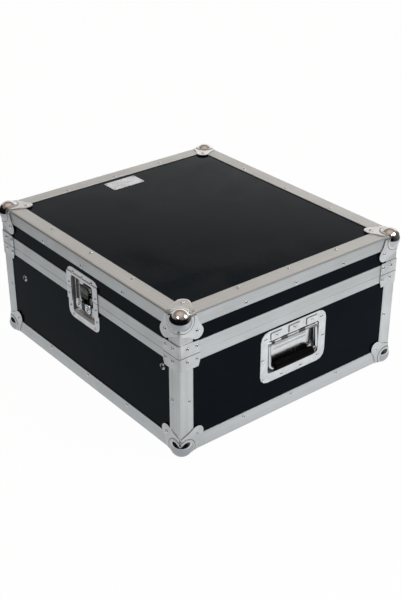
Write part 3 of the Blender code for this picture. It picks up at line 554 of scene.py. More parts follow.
def makePressedDish(name, floorDepth, underShade=0.0):
    # Bright flange and floor, with painted shade on the drawn walls, step edges and split joint,
    # and on a latch's floor under its mechanism
    look, wear = pressedLook, plateWear
    material, tree, shader, smudge, scratch = newMetal(name)
    sides = useGroup(tree, caseSides)
    above = sides["Above split"]
    depth = times(tree, sides["Outside"], -1.0)
    facing = normalHeight(tree)
    onFloor = remap(tree, depth, floorDepth - 0.0015, floorDepth - 0.0004)
    # Painted shade on the drawn walls, less on walls that face up or down
    wall = times(tree, remap(tree, depth, *look["wallTop"]), rest(tree, onFloor))
    level = remap(tree, calc(tree, "ABSOLUTE", facing), *look["level"], 1.0, 0.15)
    wall = times(tree, times(tree, wall, level), look["wallShade"])
    # Painted shade on the flange's step edges and at the split joint
    raised = remap(tree, depth, *look["flange"])
    step = times(tree, raised, remap(tree, depth, *look["flangeFoot"], 1.0, 0.0))
    half = look["jointHalf"]
    joint = remap(tree, calc(tree, "ABSOLUTE", above), half / 2, half, 1.0, 0.0)
    paintedShade = highest(tree, wall, times(tree, highest(tree, step, joint), look["edgeShade"]))
    # Painted shade on the latch's floor, under its mechanism
    if underShade:
        along = calc(tree, "ABSOLUTE", placeParts(tree)[1])
        half = look["shadeHalf"]
        across = remap(tree, along, half * 0.7, half, underShade, 0.0)
        below = remap(tree, above, *look["shadeDrop"], 1.0, 0.0)
        paintedShade = highest(tree, paintedShade, times(tree, onFloor, times(tree, across, below)))
    metal = remap(tree, facing, *look["level"], 1.0, 0.45)
    marks = ((smudge, wear["smudge"]), (paintedShade, wear["paintedShade"]), (scratch, wear["scratch"]))
    color = mixColor(tree, paintedShade, smudgedColor(tree, smudge, look), look["wall"])
    dress(tree, shader, color, addShares(tree, look["roughness"], *marks))
    # Less metal where the painted shade lies
    metal = calc(tree, "SUBTRACT", metal, times(tree, paintedShade, look["edgeShade"]), clamp=True)
    plug(tree, shader.inputs["Metallic"], metal)
    addRipple(tree, shader)
    return material


braceLook = {
    "pale": (0.62, 0.615, 0.61, 1),
    "dark": (0.48, 0.475, 0.47, 1),
    # The dark colour of the painted shade at the fold and the joint
    "paintedShade": (0.07, 0.07, 0.07, 1),
    "shadeShare": 0.8,
    "roughness": 0.28,
    "sheet": 0.0017,
    "fold": 0.0011,
    "joint": 0.0009,
}


def makeBraceMetal():
    # Plated plate with painted shade along the fold and between the upper and lower brace
    look = braceLook
    material, tree, shader, smudge, _ = newMetal("bracePlate", 0.7)
    sides = useGroup(tree, caseSides)
    beyond = calc(tree, "MINIMUM", sides["Side"], sides["Front"])
    # Painted shade along the fold and at the joint between the braces
    fold = remap(tree, beyond, look["sheet"] - look["fold"], look["sheet"] - look["fold"] * 0.6)
    away = calc(tree, "ABSOLUTE", sides["Above split"])
    joint = remap(tree, away, look["joint"] * 0.6, look["joint"], 1.0, 0.0)
    paintedShade = times(tree, highest(tree, fold, joint), look["shadeShare"])
    color = mixColor(tree, paintedShade, smudgedColor(tree, smudge, look), look["paintedShade"])
    rough = addShares(tree, look["roughness"], (smudge, plateWear["smudge"]))
    dress(tree, shader, color, rough)
    addRipple(tree, shader)
    return material


# The ball corner's sizes, from the outside corner of the case inwards
ballCorner = {
    "ball": 0.0205,
    "inset": 0.0123,
    "sheet": 0.0014,
    "gap": 0.0003,
    "collar": 0.0235,
    "collarRise": 0.001,
    "collarSoft": 0.0006,
    "footSoft": 0.0004,
    "arrisPower": 5.0,
    "slitFrom": 0.0232,
    "slitTo": 0.036,
    "slitHalf": 0.0012,
    "waist": (0.0425, 0.020),
    "lobe": 0.0375,
    "lobeRadius": 0.0135,
    "edgeRound": 0.0005,
    "innerRings": 26,
    "outerRings": 9,
}

cornerLook = {
    "ball": (0.68, 0.665, 0.66, 1),
    # The ball's downward side is painted darker as shade
    "ballUnderShade": (0.44, 0.45, 0.46, 1),
    "ballUnderShadeTo": (0.22, 0.38),
    "ballRoughness": 0.05,
    "pale": (0.65, 0.645, 0.64, 1),
    "dark": (0.50, 0.495, 0.49, 1),
    "lobeRoughness": 0.26,
    "shadeRoughness": 0.6,
    "scratch": 0.08,
    # The dark colour of the painted shade round the collar's foot
    "collarShade": (0.035, 0.030, 0.028, 1),
    "ripple": {"Scale": 120.0},
    "rippleBump": 0.25,
}


def makeCornerPlate():
    # Polished ball and duller lobes, with painted shade round the foot of the collar and on the
    # ball's downward side
    c, look = ballCorner, cornerLook
    material, tree, shader, smudge, scratch = newMetal("cornerPlate", 0.5)
    sides = useGroup(tree, caseSides)
    fromMiddle = apart(tree, placeParts(tree)[2], middleZ)
    beyondTop = calc(tree, "SUBTRACT", fromMiddle, (caseTop - caseBottom) / 2)
    local = joinVector(tree, sides["Side"], sides["Front"], beyondTop)
    radius = calcVector(tree, "DISTANCE", local, (-c["inset"],) * 3)["Value"]
    ball = remap(tree, radius, c["ball"] + 0.0003, c["ball"] + 0.0007, 1.0, 0.0)
    # Painted shade in a ring round the collar's foot, with more roughness and less metal where it
    # lies
    rise = remap(tree, radius, c["collar"] - 0.0002, c["collar"] + 0.0003)
    fall = remap(tree, radius, c["collar"] + 0.0005, c["collar"] + 0.0015, 1.0, 0.0)
    patchy = remap(tree, smudge, 0.0, 1.0, 0.6, 0.85)
    paintedShade = times(tree, times(tree, rise, fall), patchy)
    # Painted shade: the ball is darker where it faces down
    unshadedShare = remap(tree, normalHeight(tree), *look["ballUnderShadeTo"])
    polished = mixColor(tree, unshadedShare, look["ballUnderShade"], look["ball"])
    clean = mixColor(tree, ball, smudgedColor(tree, smudge, look), polished)
    rough = mixValue(tree, ball, look["lobeRoughness"], look["ballRoughness"])
    rough = addShares(tree, rough, (paintedShade, look["shadeRoughness"]), (scratch, look["scratch"]))
    dress(tree, shader, mixColor(tree, paintedShade, clean, look["collarShade"]), rough)
    plug(tree, shader.inputs["Metallic"], rest(tree, paintedShade))
    ripple = useGroup(tree, sheetRipple, look["ripple"])["Height"]
    onLobe = times(tree, ripple, rest(tree, ball))
    addBump(tree, shader, onLobe, look["rippleBump"], plateWear["rippleDepth"])
    return material


bailLook = {
    "wire": (0.62, 0.62, 0.62, 1),
    # The rod's darker tone is painted shade that dims its lamp highlight; the near-black is
    # painted shade between the knuckles
    "rod": (0.36, 0.36, 0.37, 1),
    "underShade": (0.03, 0.03, 0.03, 1),
    "roughness": 0.2,
    "rodRoughness": 0.38,
    "rodAbove": 0.0092,
    "gapMiddle": 0.022,
    "gapHalf": 0.0085,
}


def makeBailWire():
    # Polished wire; the pivot rod is rougher and painted darker as shade, and painted nearly black
    # as shade between the dish's knuckles
    b = bailLook
    material, tree, shader, smudge, scratch = newMetal("bailWire")
    parts = placeParts(tree)
    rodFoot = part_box("handle_bail_front")[1].z - b["rodAbove"]
    rod = remap(tree, parts[2], rodFoot - 0.0004, rodFoot)
    fromGap = apart(tree, calc(tree, "ABSOLUTE", parts[0]), b["gapMiddle"])
    gap = remap(tree, fromGap, b["gapHalf"] * 0.9, b["gapHalf"], 0.9, 0.0)
    clean = mixColor(tree, rod, b["wire"], b["rod"])
    rough = mixValue(tree, rod, b["roughness"], b["rodRoughness"])
    marks = ((smudge, plateWear["smudge"]), (scratch, 0.1))
    color = mixColor(tree, times(tree, rod, gap), clean, b["underShade"])
    dress(tree, shader, color, addShares(tree, rough, *marks))
    return material


coatLooks = {
    "mouldedGrip": {
        "clean": (0.0012, 0.0011, 0.001, 1),
        "worn": (0.003, 0.0028, 0.0024, 1),
        "wornBy": "Smudge",
        "grains": (1400.0, 0.3),
        "marks": {"Scale": 30.0, "Scratches": 0.3},
        "roughness": 0.4,
        "smudge": 0.15,
        "specular": 0.03,
        "bump": (0.4, 0.0003),
    },
    "railPowderCoat": {
        "clean": (0.016, 0.016, 0.018, 1),
        "worn": (0.06, 0.06, 0.062, 1),
        "wornBy": "Scratch",
        "grains": (900.0, 0.7),
        "marks": {"Scale": 20.0, "Scratches": 1.0},
        "roughness": 0.48,
        "smudge": 0.1,
        "specular": 0.5,
        "bump": (0.5, 0.0003),
    },
}


def makeCoat(name):
    look = coatLooks[name]
    material, tree, shader = newMaterial(name)
    marks = useGroup(tree, handlingMarks, look["marks"])
    plugAll(tree, shader, {
        "Base Color": mixColor(tree, marks[look["wornBy"]], look["clean"], look["worn"]),
        "Roughness": addShares(tree, look["roughness"], (marks["Smudge"], look["smudge"])),
        "Specular IOR Level": look["specular"],
    })
    addBump(tree, shader, addPebble(tree, *look["grains"])["Height"], *look["bump"])
    return material


laminatedPly = makeLaminate()
plated = {name: makePlated(name) for name in platedLooks}
latchDishPlate = makePressedDish("latchDishPlate", 0.0080, underShade=0.75)
cornerPlate = makeCornerPlate()
wingPlate = makeWingPlate()

# Each CAD node takes the first finish whose word is in its name, or else zinc plate
finishes = {
    "wall": laminatedPly,
    "panel": laminatedPly,
    "post": makeEdging("postAluminium", 1.0),
    "frame": makeEdging("edgingAluminium", 0.0),
    "grip": makeCoat("mouldedGrip"),
    "rack_rail": makeCoat("railPowderCoat"),
    "bail": makeBailWire(),
    "hook": makeHookSteel(),
    "spindle": plated["darkSteel"],
    "handle_dish": makePressedDish("handleDishPlate", 0.0102),
    "latch_dish": latchDishPlate,
    "catch_dish": latchDishPlate,
    "brace": makeBraceMetal(),
    "ball_corner": plated["nickelPlate"],
    "wing": plated["nickelPlate"],
}
print("materials made")

for name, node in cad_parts.items():
    finish = next((finishes[word] for word in finishes if word in name), plated["zincPlate"])
    node.data.materials.clear()
    node.data.materials.append(finish)
print("CAD nodes dressed")


# Piece helpers


def meshFrom(bm, name):
    mesh = bpy.data.meshes.new(name)
    bm.to_mesh(mesh)
    bm.free()
    return mesh


def copyOf(mesh, place, mirrored):
    # A new bmesh of a shape that is drawn once, with its faces turned back where it is mirrored
    bm = bmesh.new()
    bm.from_mesh(mesh)
    bmesh.ops.transform(bm, matrix=place, verts=bm.verts)
    if mirrored:
        bmesh.ops.reverse_faces(bm, faces=bm.faces)
    return bm


def newObject(name, data):
    made = bpy.data.objects.new(name, data)
    bpy.context.scene.collection.objects.link(made)
    return made


def addPiece(name, bm, material, body, smooth=35.0):
    mesh = meshFrom(bm, name)
    mesh.materials.append(material)
    mesh.shade_smooth()
    mesh.set_sharp_from_angle(angle=math.radians(smooth))
    piece = newObject(name, mesh)
    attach(piece, body)
    return piece


def addTurned(bm, place, profile, segments):
    # A (radius, height) profile turned about the place's own Z, closed where it meets the axis
    rings = []
    for radius, height in profile:
        count = segments if radius > 1e-7 else 1
        angles = [2 * math.pi * i / segments for i in range(count)]
        spots = [(radius * math.cos(turn), radius * math.sin(turn), height) for turn in angles]
        rings.append([bm.verts.new(place @ Vector(spot)) for spot in spots])
    for first, second in zip(rings, rings[1:]):
        for i in range(segments):
            j = (i + 1) % segments
            spots = ((first, i), (first, j), (second, j), (second, i))
            corners = [ring[spot % len(ring)] for ring, spot in spots]
            bm.faces.new(list(dict.fromkeys(corners)))


# Ball corners


def lobeOutline():
    # Half of one face's outline, from the corner of the shell to the lobe's end on the diagonal
    c = ballCorner
    outside = -(c["gap"] + c["sheet"])
    waist, middle = Vector(c["waist"]), Vector((c["lobe"], c["lobe"]))
    away = middle - waist
    start = math.atan2(away.y, away.x) - math.asin(c["lobeRadius"] / away.length) - math.pi / 2
    sweep = math.pi / 4 - start
    arc = [start + sweep * step / 9 for step in range(10)]
    lobe = [middle + c["lobeRadius"] * Vector((math.cos(turn), math.sin(turn))) for turn in arc]
    stops = [
        (Vector((outside, outside)), 16),  # each stop, and the steps from it to the next
        (Vector((c["slitFrom"], outside)), 3),
        (Vector((c["slitFrom"], c["slitHalf"])), 9),
        (Vector((c["slitTo"], c["slitHalf"])), 13),
        (waist, 8),
        (lobe[0], 0),
    ]
    points = []
    for (first, count), (last, _) in zip(stops, stops[1:]):
        points += [first.lerp(last, step / count) for step in range(count)]
    return points + lobe


def softMax(first, second, soft):
    return (first + second + math.sqrt((first - second) ** 2 + soft * soft)) / 2


def shellPoint(reach):
    # Where a ray from the ball's centre leaves the pressed shell
    c = ballCorner
    ray = reach / reach.length
    power = c["arrisPower"]
    facing = sum(max(0.0, -part) ** power for part in ray) ** (1 / power)
    out = c["inset"] + c["gap"] + c["sheet"]
    cover = out / facing
    collar = cover * (1 + c["collarRise"] / out)
    collar = -softMax(-collar, -c["collar"], c["collarSoft"])
    plate = softMax(cover, collar, c["collarSoft"])
    return ray * softMax(plate, c["ball"], c["footSoft"])


def addShellFace(bm, first, second, third, found):
    # One face's third of the shell, as rings round the ball; the axes say which way it faces
    c = ballCorner
    half = lobeOutline()
    outline = half + [Vector((p.y, p.x)) for p in reversed(half[1:-1])]
    middle = Vector((c["inset"], c["inset"]))
    depth = -(c["inset"] + c["gap"] + c["sheet"])

    def vertexAt(flat):
        spot = [0.0, 0.0, 0.0]
        spot[first], spot[second], spot[third] = flat.x - c["inset"], flat.y - c["inset"], depth
        place = shellPoint(Vector(spot))
        key = tuple(round(part, 7) for part in place)
        if key not in found:
            found[key] = bm.verts.new(place + Vector((c["inset"],) * 3))
        return found[key]

    previous = [vertexAt(middle)] * len(outline)
    for ring in range(1, c["innerRings"] + c["outerRings"] + 1):
        current = []
        for edge in outline:
            full = (edge - middle).length
            near = min(c["ball"], full * 0.93)  # the inner rings end at the ball's foot
            if ring <= c["innerRings"]:
                length = near * ring / c["innerRings"]
            else:
                length = near + (full - near) * (ring - c["innerRings"]) / c["outerRings"]
            current.append(vertexAt(middle.lerp(edge, length / full)))
        for i in range(len(outline)):
            j = (i + 1) % len(outline)
            corners = list(dict.fromkeys((previous[i], previous[j], current[j], current[i])))
            if len(corners) > 2:
                bm.faces.new(corners)
        previous = current


def makeBallCorner():
    bm = bmesh.new()
    found = {}
    for axes in ((0, 1, 2), (1, 2, 0), (2, 0, 1)):
        addShellFace(bm, *axes, found)
    bmesh.ops.remove_doubles(bm, verts=bm.verts, dist=0.00002)
    bmesh.ops.recalc_face_normals(bm, faces=bm.faces)
    return meshFrom(bm, "ballCornerShell")


def placeBallCorners():
    shell = makeBallCorner()
    for level, body in (("lid", lidBody), ("base", baseBody)):
        for front in ("front", "back"):
            for left in ("left", "right"):
                x = -1 if left == "left" else 1
                y = -1 if front == "front" else 1
                z, height = (1, caseTop) if level == "lid" else (-1, caseBottom)
                corner = Matrix.Translation((x * halfWidth, y * halfDepth, height))
                bm = copyOf(shell, corner @ Matrix.Diagonal((-x, -y, -z, 1)), x * y * z > 0)
                name = f"{level}BallCorner_{front}_{left}"
                piece = addPiece(name, bm, cornerPlate, body, smooth=40.0)
                sheet = piece.modifiers.new("sheet", "SOLIDIFY")
                sheet.thickness = ballCorner["sheet"]
                sheet.offset = -1.0
                edge = piece.modifiers.new("edge", "BEVEL")
                edge.width = ballCorner["edgeRound"]
                edge.segments = 2
                edge.limit_method = "ANGLE"
                edge.angle_limit = math.radians(50)
                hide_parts(f"{level}_ball_corner_{front}_{left}")


placeBallCorners()
print("ball corners pressed")


# Rivets

rivet = {"radius": 0.0037, "height": 0.0016, "hole": 0.0015, "dip": 0.0014, "segments": 24}


def rivetProfile(size=1.0, solid=False):
    radius, height = rivet["radius"] * size, rivet["height"] * size
    if solid:
        quarter = [step * math.pi / 12 for step in range(6)]
        dome = [(radius * math.cos(turn), height * math.sin(turn)) for turn in quarter]
        return dome + [(0, height)]
    hole, dip = rivet["hole"] * size, rivet["dip"] * size
    profile = [(radius, 0)]
    for step in range(1, 5):
        angle = step * math.pi / 10
        profile.append((hole + (radius - hole) * math.cos(angle), height * math.sin(angle)))
    return profile + [(hole, height), (hole * 0.85, height - dip), (0, height - dip)]


def facePlace(side, x, depth, z):
    # A place on a face with its Z pointing out of the case, this deep behind the edging's face
    outwards = Matrix.Rotation(math.pi / 2, 4, "X")
    return sidePlace(side) @ Matrix.Translation((x, depth, z)) @ outwards


def addRivet(bm, side, x, depth, z, size=1.0, solid=False):
    place = facePlace(side, x, depth, z)
    addTurned(bm, place, rivetProfile(size, solid), rivet["segments"])


def addTopRivet(bm, x, y, z, up=1.0, size=1.0):
    place = Matrix.Translation((x, y, z))
    if up < 0:
        place = place @ Matrix.Rotation(math.pi, 4, "X")
    addTurned(bm, place, rivetProfile(size), rivet["segments"])


def addRivetPiece(name, bm, body):
    addPiece(name, bm, plated["rivetMetal"], body)


edgeRivets = {
    "sideSpacing": 0.1315,
    "frontSpacing": 0.118,
    "topDrop": 0.0205,
    "topIn": 0.023,
    "bottomRise": 0.0228,
    "postIn": 0.022,
    "postRise": 0.109,
}


def makeEdgeRivets():
    r = edgeRivets
    lid, base = bmesh.new(), bmesh.new()
    for side in sideTurns:
        spacing = r["frontSpacing"] if side in ("front", "back") else r["sideSpacing"]
        for step in (-1, 0, 1):
            x = step * spacing
            addRivet(lid, side, x, 0, caseTop - r["topDrop"])
            addRivet(base, side, x, 0, caseBottom + r["bottomRise"])
            inwards = sidePlace(side) @ Vector((x, r["topIn"], 0))
            addTopRivet(lid, inwards.x, inwards.y, caseTop)
            addTopRivet(base, inwards.x, inwards.y, caseBottom, up=-1)
        for end in (-1, 1):
            x = end * (halfLength(side) - r["postIn"])
            addRivet(base, side, x, 0, caseBottom + r["postRise"])
    addRivetPiece("lidEdgeRivets", lid, lidBody)
    addRivetPiece("baseEdgeRivets", base, baseBody)


braceRivets = {"reaches": (0.0172, 0.0375), "above": 0.0146, "below": 0.0108, "seat": -0.0017}
lobeRivet = {"along": 0.038, "away": 0.035, "seat": -0.0017}


def makeCornerRivets():
    lid, base = bmesh.new(), bmesh.new()
    for side in sideTurns:
        for end in (-1, 1):
            for reach in braceRivets["reaches"]:
                x = end * (halfLength(side) - reach)
                addRivet(lid, side, x, braceRivets["seat"], splitZ + braceRivets["above"])
                addRivet(base, side, x, braceRivets["seat"], splitZ - braceRivets["below"])
            x = end * (halfLength(side) - lobeRivet["along"])
            addRivet(lid, side, x, lobeRivet["seat"], caseTop - lobeRivet["away"])
            addRivet(base, side, x, lobeRivet["seat"], caseBottom + lobeRivet["away"])
    for alongX, alongY in fourCorners:
        x = alongX * (halfWidth - lobeRivet["along"])
        y = alongY * (halfDepth - lobeRivet["along"])
        addTopRivet(lid, x, y, caseTop - lobeRivet["seat"])
        addTopRivet(base, x, y, caseBottom + lobeRivet["seat"], up=-1)
    addRivetPiece("lidCornerRivets", lid, lidBody)
    addRivetPiece("baseCornerRivets", base, baseBody)


handleFittings = {
    "rivets": [  # across and up
        (-0.075, 0.1317), (-0.0725, 0.0897), (-0.027, 0.0857), (0.021, 0.0857),
        (0.064, 0.0927), (0.075, 0.1317), (0.069, 0.1742), (-0.069, 0.1742),
    ],
    "seat": 0.0003,
    "knuckles": (-0.044, 0.0, 0.044),
    "knuckleHeight": 0.1785,
    "knuckleSeat": -0.0015,
    "knuckleSize": 0.95,
}


def makeHandleRivets():
    h = handleFittings
    bm = bmesh.new()
    for side in ("front", "back"):
        for x, z in h["rivets"]:
            addRivet(bm, side, x, h["seat"], z, solid=True)
        for x in h["knuckles"]:
            addRivet(bm, side, x, h["knuckleSeat"], h["knuckleHeight"], h["knuckleSize"])
    addRivetPiece("handleRivets", bm, baseBody)


makeEdgeRivets()
makeCornerRivets()
makeHandleRivets()
print("rivets placed")


# Latches

latchFittings = {
    # Rows of rivets: their places across, their height and how deep they sit
    "lidRows": [((-0.031, 0.0, 0.031), 0.2452, 0.0003), ((-0.0445, 0.0445), 0.2184, -0.0015)],
    "baseRows": [
        ((-0.0445, 0.0445), 0.1948, -0.0015),
        ((-0.0440, 0.0440), 0.168, 0.0003),
        ((-0.036, 0.036), 0.1510, 0.0003),
    ],
    "rivetSize": 0.85,
}

wing = {
    "hinge": 0.0026,
    "root": 0.0036,
    "reach": 0.0216,
    "rootHalf": 0.0062,
    "rootRound": 0.0015,
    "tipHalf": 0.0122,
    "tipRound": 0.0075,
    "sheet": 0.0016,
    "edgeRound": 0.0005,
    "rods": [(0.0018, 0.006), (0.0009, 0.0083)],  # the barrel and the pin: radius and half length
    "boss": (0.0122, 0.0002),
    # The pressed ring and the eyelet in it: each point's radius and height
    "ring": [
        (0.0068, -0.0002), (0.0063, 0.00042), (0.0056, 0.0007), (0.0048, 0.0007),
        (0.0041, 0.00042), (0.0033, 0.00004), (0.0023, 0.00004), (0.0020, 0.0003),
        (0.0017, 0.0002), (0.00153, 0.00005), (0, 0.00005),
    ],
}


def roundedLoop(corners, steps=6):
    # Corners are (x, z, radius); each is rounded by that radius
    points = []
    for i, (x, z, radius) in enumerate(corners):
        here = Vector((x, z))
        if radius <= 0:
            points.append(here)
            continue
        before = (Vector(corners[i - 1][:2]) - here).normalized()
        after = (Vector(corners[(i + 1) % len(corners)][:2]) - here).normalized()
        half = before.angle(after) / 2
        reach = radius / math.tan(half)
        middle = here + (before + after).normalized() * radius / math.sin(half)
        start, end = here + before * reach - middle, here + after * reach - middle
        turn = start.angle_signed(end)
        for step in range(steps + 1):
            angle = turn * step / steps
            c, d = math.cos(angle), math.sin(angle)
            points.append(middle + Vector((start.x * c + start.y * d, -start.x * d + start.y * c)))
    return points


def addSlab(bm, loop, front, back):
    # A flat plate on an (x, z) outline, between two depths
    near = [bm.verts.new((x, front, z)) for x, z in loop]
    far = [bm.verts.new((x, back, z)) for x, z in loop]
    bm.faces.new(near)
    bm.faces.new(list(reversed(far)))
    for i in range(len(loop)):
        j = (i + 1) % len(loop)
        bm.faces.new((near[j], near[i], far[i], far[j]))


def roundEdges(bm, width, segments):
    # Rounds a slab's sharp edges
    edges = [e for e in bm.edges if len(e.link_faces) == 2 and e.calc_face_angle(0) > 1.2]
    bmesh.ops.bevel(bm, geom=edges, offset=width, segments=segments, profile=0.5, affect="EDGES")


def wingMesh():
    # The right wing, drawn from its hinge pin, with a pressed ring and a hole
    w = wing
    bm = bmesh.new()
    corners = [
        (0.0, -w["rootHalf"] + 0.0003, 0),
        (w["root"], -w["rootHalf"], w["rootRound"]),
        (w["reach"], -w["tipHalf"], w["tipRound"]),
        (w["reach"], w["tipHalf"], w["tipRound"]),
        (w["root"], w["rootHalf"], w["rootRound"]),
        (0.0, w["rootHalf"] - 0.0003, 0),
    ]
    addSlab(bm, roundedLoop(corners), -w["sheet"] / 2, w["sheet"] / 2)
    roundEdges(bm, w["edgeRound"], 2)
    for radius, half in w["rods"]:
        soft = radius * 0.25
        lower = [(0, -half), (radius - soft, -half), (radius, -half + soft)]
        upper = [(across, -up) for across, up in reversed(lower)]
        addTurned(bm, Matrix.Identity(4), lower + upper, 16)
    x, z = w["boss"]
    boss = Matrix.Translation((x, -w["sheet"] / 2, z)) @ Matrix.Rotation(math.pi / 2, 4, "X")
    addTurned(bm, boss, w["ring"], 28)
    return meshFrom(bm, "wingShape")


def addRivetRows(name, side, rows, body):
    bm = bmesh.new()
    for places, z, seat in rows:
        for x in places:
            addRivet(bm, side, x, seat, z, latchFittings["rivetSize"])
    addRivetPiece(f"{name}_{side}", bm, body)


def makeLatchPieces():
    shape = wingMesh()
    for side in ("left", "right"):
        addRivetRows("catchRivets", side, latchFittings["lidRows"], lidBody)
        addRivetRows("latchRivets", side, latchFittings["baseRows"], baseBody)
        for end, sign in (("a", 1), ("b", -1)):
            node = f"latch_wing_{side}_{end}"
            low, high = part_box(node)
            axisDepth = halfWidth - (abs(low.x) + abs(high.x)) / 2
            hinge = (sign * wing["hinge"], axisDepth, (low.z + high.z) / 2)
            place = sidePlace(side) @ Matrix.Translation(hinge)
            bm = copyOf(shape, place @ Matrix.Diagonal((sign, 1, 1, 1)), sign < 0)
            piece = addPiece(f"latchWing_{side}_{end}", bm, wingPlate, node)
            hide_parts(node)


makeLatchPieces()
print("latches fitted")


# Rail bolts and the plate on the lid

railBolts = {
    "places": [(0.2452, 0.1721), (-0.2199, 0.1519)],
    "seat": 0.0018,
    # Half sections: each point's radius and height
    "cup": [
        (0.0066, 0.0), (0.0064, 0.0007), (0.0052, 0.0021), (0.0040, 0.0026),
        (0.0034, 0.0022), (0.0031, 0.0011), (0.0, 0.0011),
    ],
    "head": [
        (0.0029, 0.0012), (0.0029, 0.0026), (0.0024, 0.0032), (0.0015, 0.0032),
        (0.0013, 0.0020), (0.0, 0.0020),
    ],
}


def makeRailBolts():
    cups, heads = bmesh.new(), bmesh.new()
    for side, mirrored in (("left", 1), ("right", -1)):
        for x, z in railBolts["places"]:
            place = facePlace(side, x * mirrored, railBolts["seat"], z)
            addTurned(cups, place, railBolts["cup"], 28)
            addTurned(heads, place, railBolts["head"], 6)
    addPiece("railCupWashers", cups, plated["zincPlate"], baseBody)
    addPiece("railBoltHeads", heads, plated["darkSteel"], baseBody)


namePlate = {
    "middle": (-0.0035, 0.233),
    "size": (0.077, 0.040),
    "round": 0.003,
    "edgeRound": 0.00025,
    "sheet": 0.0008,
    "rivetIn": 0.0045,
    "rivetSize": 0.5,
}


def makeNamePlate():
    # A bare plate riveted near the back of the lid's top
    n = namePlate
    bm = bmesh.new()
    x, y = n["middle"]
    halfX, halfY = n["size"][0] / 2, n["size"][1] / 2
    corners = [(alongX * halfX, alongY * halfY, n["round"]) for alongX, alongY in fourCorners]
    addSlab(bm, roundedLoop(corners), 0.0, -n["sheet"])
    bmesh.ops.recalc_face_normals(bm, faces=bm.faces)
    roundEdges(bm, n["edgeRound"], 1)
    lay = Matrix.Translation((x, y, panelTop)) @ Matrix.Rotation(-math.pi / 2, 4, "X")
    bmesh.ops.transform(bm, matrix=lay, verts=bm.verts)
    for alongX, alongY in fourCorners:
        spotX = x + alongX * (halfX - n["rivetIn"])
        spotY = y + alongY * (halfY - n["rivetIn"])
        addTopRivet(bm, spotX, spotY, panelTop + n["sheet"], size=n["rivetSize"])
    addPiece("lidPlate", bm, plated["zincPlate"], lidBody)


makeRailBolts()
makeNamePlate()
print("bolts and plate fitted")


# Floor, light and camera


def blendShaders(tree, share, first, second):
    mix = addNode(tree, "MixShader", {0: share, 1: first, 2: second})
    plug(tree, tree.nodes["Material Output"].inputs["Surface"], mix.outputs[0])


# Left, right and footShade are the floor's brightness in reflections
floorLook = {
    "size": 30.0,
    "color": (0.9, 0.9, 0.9, 1),
    "roughness": 0.9,
    "shown": 0.97,
    "left": 0.67,
    "right": 1.10,
    "turnsFrom": -0.45,
    "turnsTo": -0.05,
    "footShade": 0.8,
    "footReach": 0.14,
    "glow": (0.91, 0.945, 0.98, 1),
}


def makeFloor():
    look = floorLook
    bm = bmesh.new()
    bmesh.ops.create_grid(bm, x_segments=1, y_segments=1, size=look["size"] / 2)
    floor = newObject("floor", meshFrom(bm, "floor"))
    material, tree, shader = newMaterial("paleFloor")
    sockets = {"Base Color": look["color"], "Roughness": look["roughness"]}
    plugAll(tree, shader, {**sockets, "Specular IOR Level": 0.0})
    path = addNode(tree, "LightPath").outputs
    mirrored = highest(tree, path["Is Glossy Ray"], path["Is Transmission Ray"])
    shown = times(tree, path["Is Camera Ray"], look["shown"])
    x = placeParts(tree)[0]
    level = remap(tree, x, look["turnsFrom"], look["turnsTo"], look["left"], look["right"])
    outside = useGroup(tree, caseSides)["Outside"]
    shade = remap(tree, outside, 0.0, look["footReach"], look["footShade"], 1.0)
    glow = {
        "Color": mixColor(tree, mirrored, (1, 1, 1, 1), look["glow"]),
        "Strength": mixValue(tree, mirrored, 1.0, times(tree, level, shade)),
    }
    emission = addNode(tree, "Emission", glow).outputs[0]
    blendShaders(tree, highest(tree, shown, mirrored), shader.outputs[0], emission)
    floor.data.materials.append(material)


# The room as the metals see it, from level (0) to straight up (1)
room = {
    "stops": [
        (0.0, (0.22, 0.21, 0.20, 1)),
        (0.27, (0.40, 0.39, 0.37, 1)),
        (0.34, (1.0, 1.0, 0.98, 1)),
        (0.395, (1.0, 1.0, 0.975, 1)),
        (0.44, (0.26, 0.25, 0.235, 1)),
        (0.75, (0.16, 0.135, 0.12, 1)),
        (1.0, (0.50, 0.405, 0.345, 1)),
    ],
    "strength": 2.2,
    "leftShare": 0.72,
    "turnsFrom": 0.40,
    "turnsTo": 0.68,
}


def makeWorld():
    world = bpy.data.worlds.new("studio")
    bpy.context.scene.world = world
    world.use_nodes = True
    tree = world.node_tree
    direction = splitVector(tree, addNode(tree, "TexCoord").outputs["Generated"])
    ramp = addNode(tree, "ValToRGB", {"Fac": direction[2]})
    elements, stops = ramp.color_ramp.elements, room["stops"]
    elements[0].position = stops[0][0]
    elements[1].position = stops[-1][0]
    for position, _ in stops[1:-1]:
        elements.new(position)
    for element, (_, color) in zip(elements, stops):
        element.color = color
    seen = addNode(tree, "LightPath").outputs["Is Camera Ray"]
    levels = (room["strength"] * room["leftShare"], room["strength"])
    strength = remap(tree, direction[0], room["turnsFrom"], room["turnsTo"], *levels)
    plugAll(tree, tree.nodes["Background"], {
        "Color": mixColor(tree, seen, ramp.outputs["Color"], (1, 1, 1, 1)),
        "Strength": mixValue(tree, seen, strength, 1.0),
    })


screenLook = {
    "middle": -38.5,
    "spread": 118.0,
    "radius": 1.05,
    "height": 0.88,
    "softFrom": 0.7,
    "dark": (0.010, 0.009, 0.010, 1),
    "pale": (0.26, 0.26, 0.24, 1),
    "paleFrom": 0.1,
    "steps": 48,
}


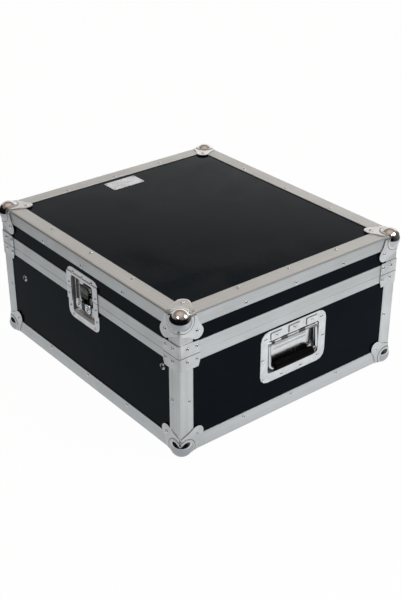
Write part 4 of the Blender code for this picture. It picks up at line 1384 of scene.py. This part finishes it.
def makeDarkScreen():
    # A dark screen in front of the case, which only the metal's reflections see
    s = screenLook
    bm = bmesh.new()
    previous = None
    for step in range(s["steps"] + 1):
        angle = math.radians(s["middle"] + s["spread"] * (2 * step / s["steps"] - 1))
        x, y = s["radius"] * math.sin(angle), -s["radius"] * math.cos(angle)
        current = [bm.verts.new((x, y, z)) for z in (0.0, s["height"])]
        if previous:
            bm.faces.new((previous[0], current[0], current[1], previous[1]))
        previous = current
    screen = newObject("darkScreen", meshFrom(bm, "darkScreen"))
    material, tree, shader = newMaterial("darkCloth")
    parts = placeParts(tree)
    fade = remap(tree, parts[0], s["paleFrom"], s["radius"])
    cloth = mixColor(tree, fade, s["dark"], s["pale"])
    sockets = {"Base Color": cloth, "Roughness": 1.0, "Specular IOR Level": 0.0}
    plugAll(tree, shader, sockets)
    gone = remap(tree, parts[2], s["height"] * s["softFrom"], s["height"])
    clear = addNode(tree, "BsdfTransparent").outputs[0]
    blendShaders(tree, gone, shader.outputs[0], clear)
    screen.data.materials.append(material)
    screen.visible_camera = False
    screen.visible_diffuse = False
    screen.visible_shadow = False


lamps = {
    "color": (0.93, 0.965, 1.0),
    "aim": (0, 0, 0.15),
    "keyLamp": {"place": (1.25, -1.75, 2.1), "size": 1.25, "power": 30.0},
    "leftLamp": {"place": (-1.52, -0.62, 2.0), "size": 0.85, "power": 9.0},
}


def addLamp(name):
    look = lamps[name]
    light = bpy.data.lights.new(name, "AREA")
    light.shape = "DISK"
    light.size = look["size"]
    light.energy = look["power"]
    light.color = lamps["color"]
    lamp = newObject(name, light)
    lamp.location = look["place"]
    towards = Vector(lamps["aim"]) - Vector(look["place"])
    lamp.rotation_euler = towards.to_track_quat("-Z", "Y").to_euler()


view = {
    "place": (-1.2024, -1.5306, 1.1854),
    "azimuth": -38.511,
    "elevation": 29.044,
    "roll": -0.0707,
    "lens": 65.30,
    "sensor": 36.0,
}


def makeCamera():
    azimuth, elevation, roll = [math.radians(view[k]) for k in ("azimuth", "elevation", "roll")]
    level = math.cos(elevation)
    back = (math.sin(azimuth) * level, -math.cos(azimuth) * level, math.sin(elevation))
    camera = newObject("camera", bpy.data.cameras.new("camera"))
    camera.data.lens = view["lens"]
    camera.data.sensor_width = view["sensor"]
    camera.rotation_mode = "QUATERNION"
    camera.location = view["place"]
    turn = Matrix.Rotation(roll, 3, "Z").to_quaternion()
    camera.rotation_quaternion = (-Vector(back)).to_track_quat("-Z", "Y") @ turn
    bpy.context.scene.camera = camera


makeFloor()
makeWorld()
makeDarkScreen()
addLamp("keyLamp")
addLamp("leftLamp")
makeCamera()
bpy.context.scene.view_settings.view_transform = "Standard"
print("studio set")
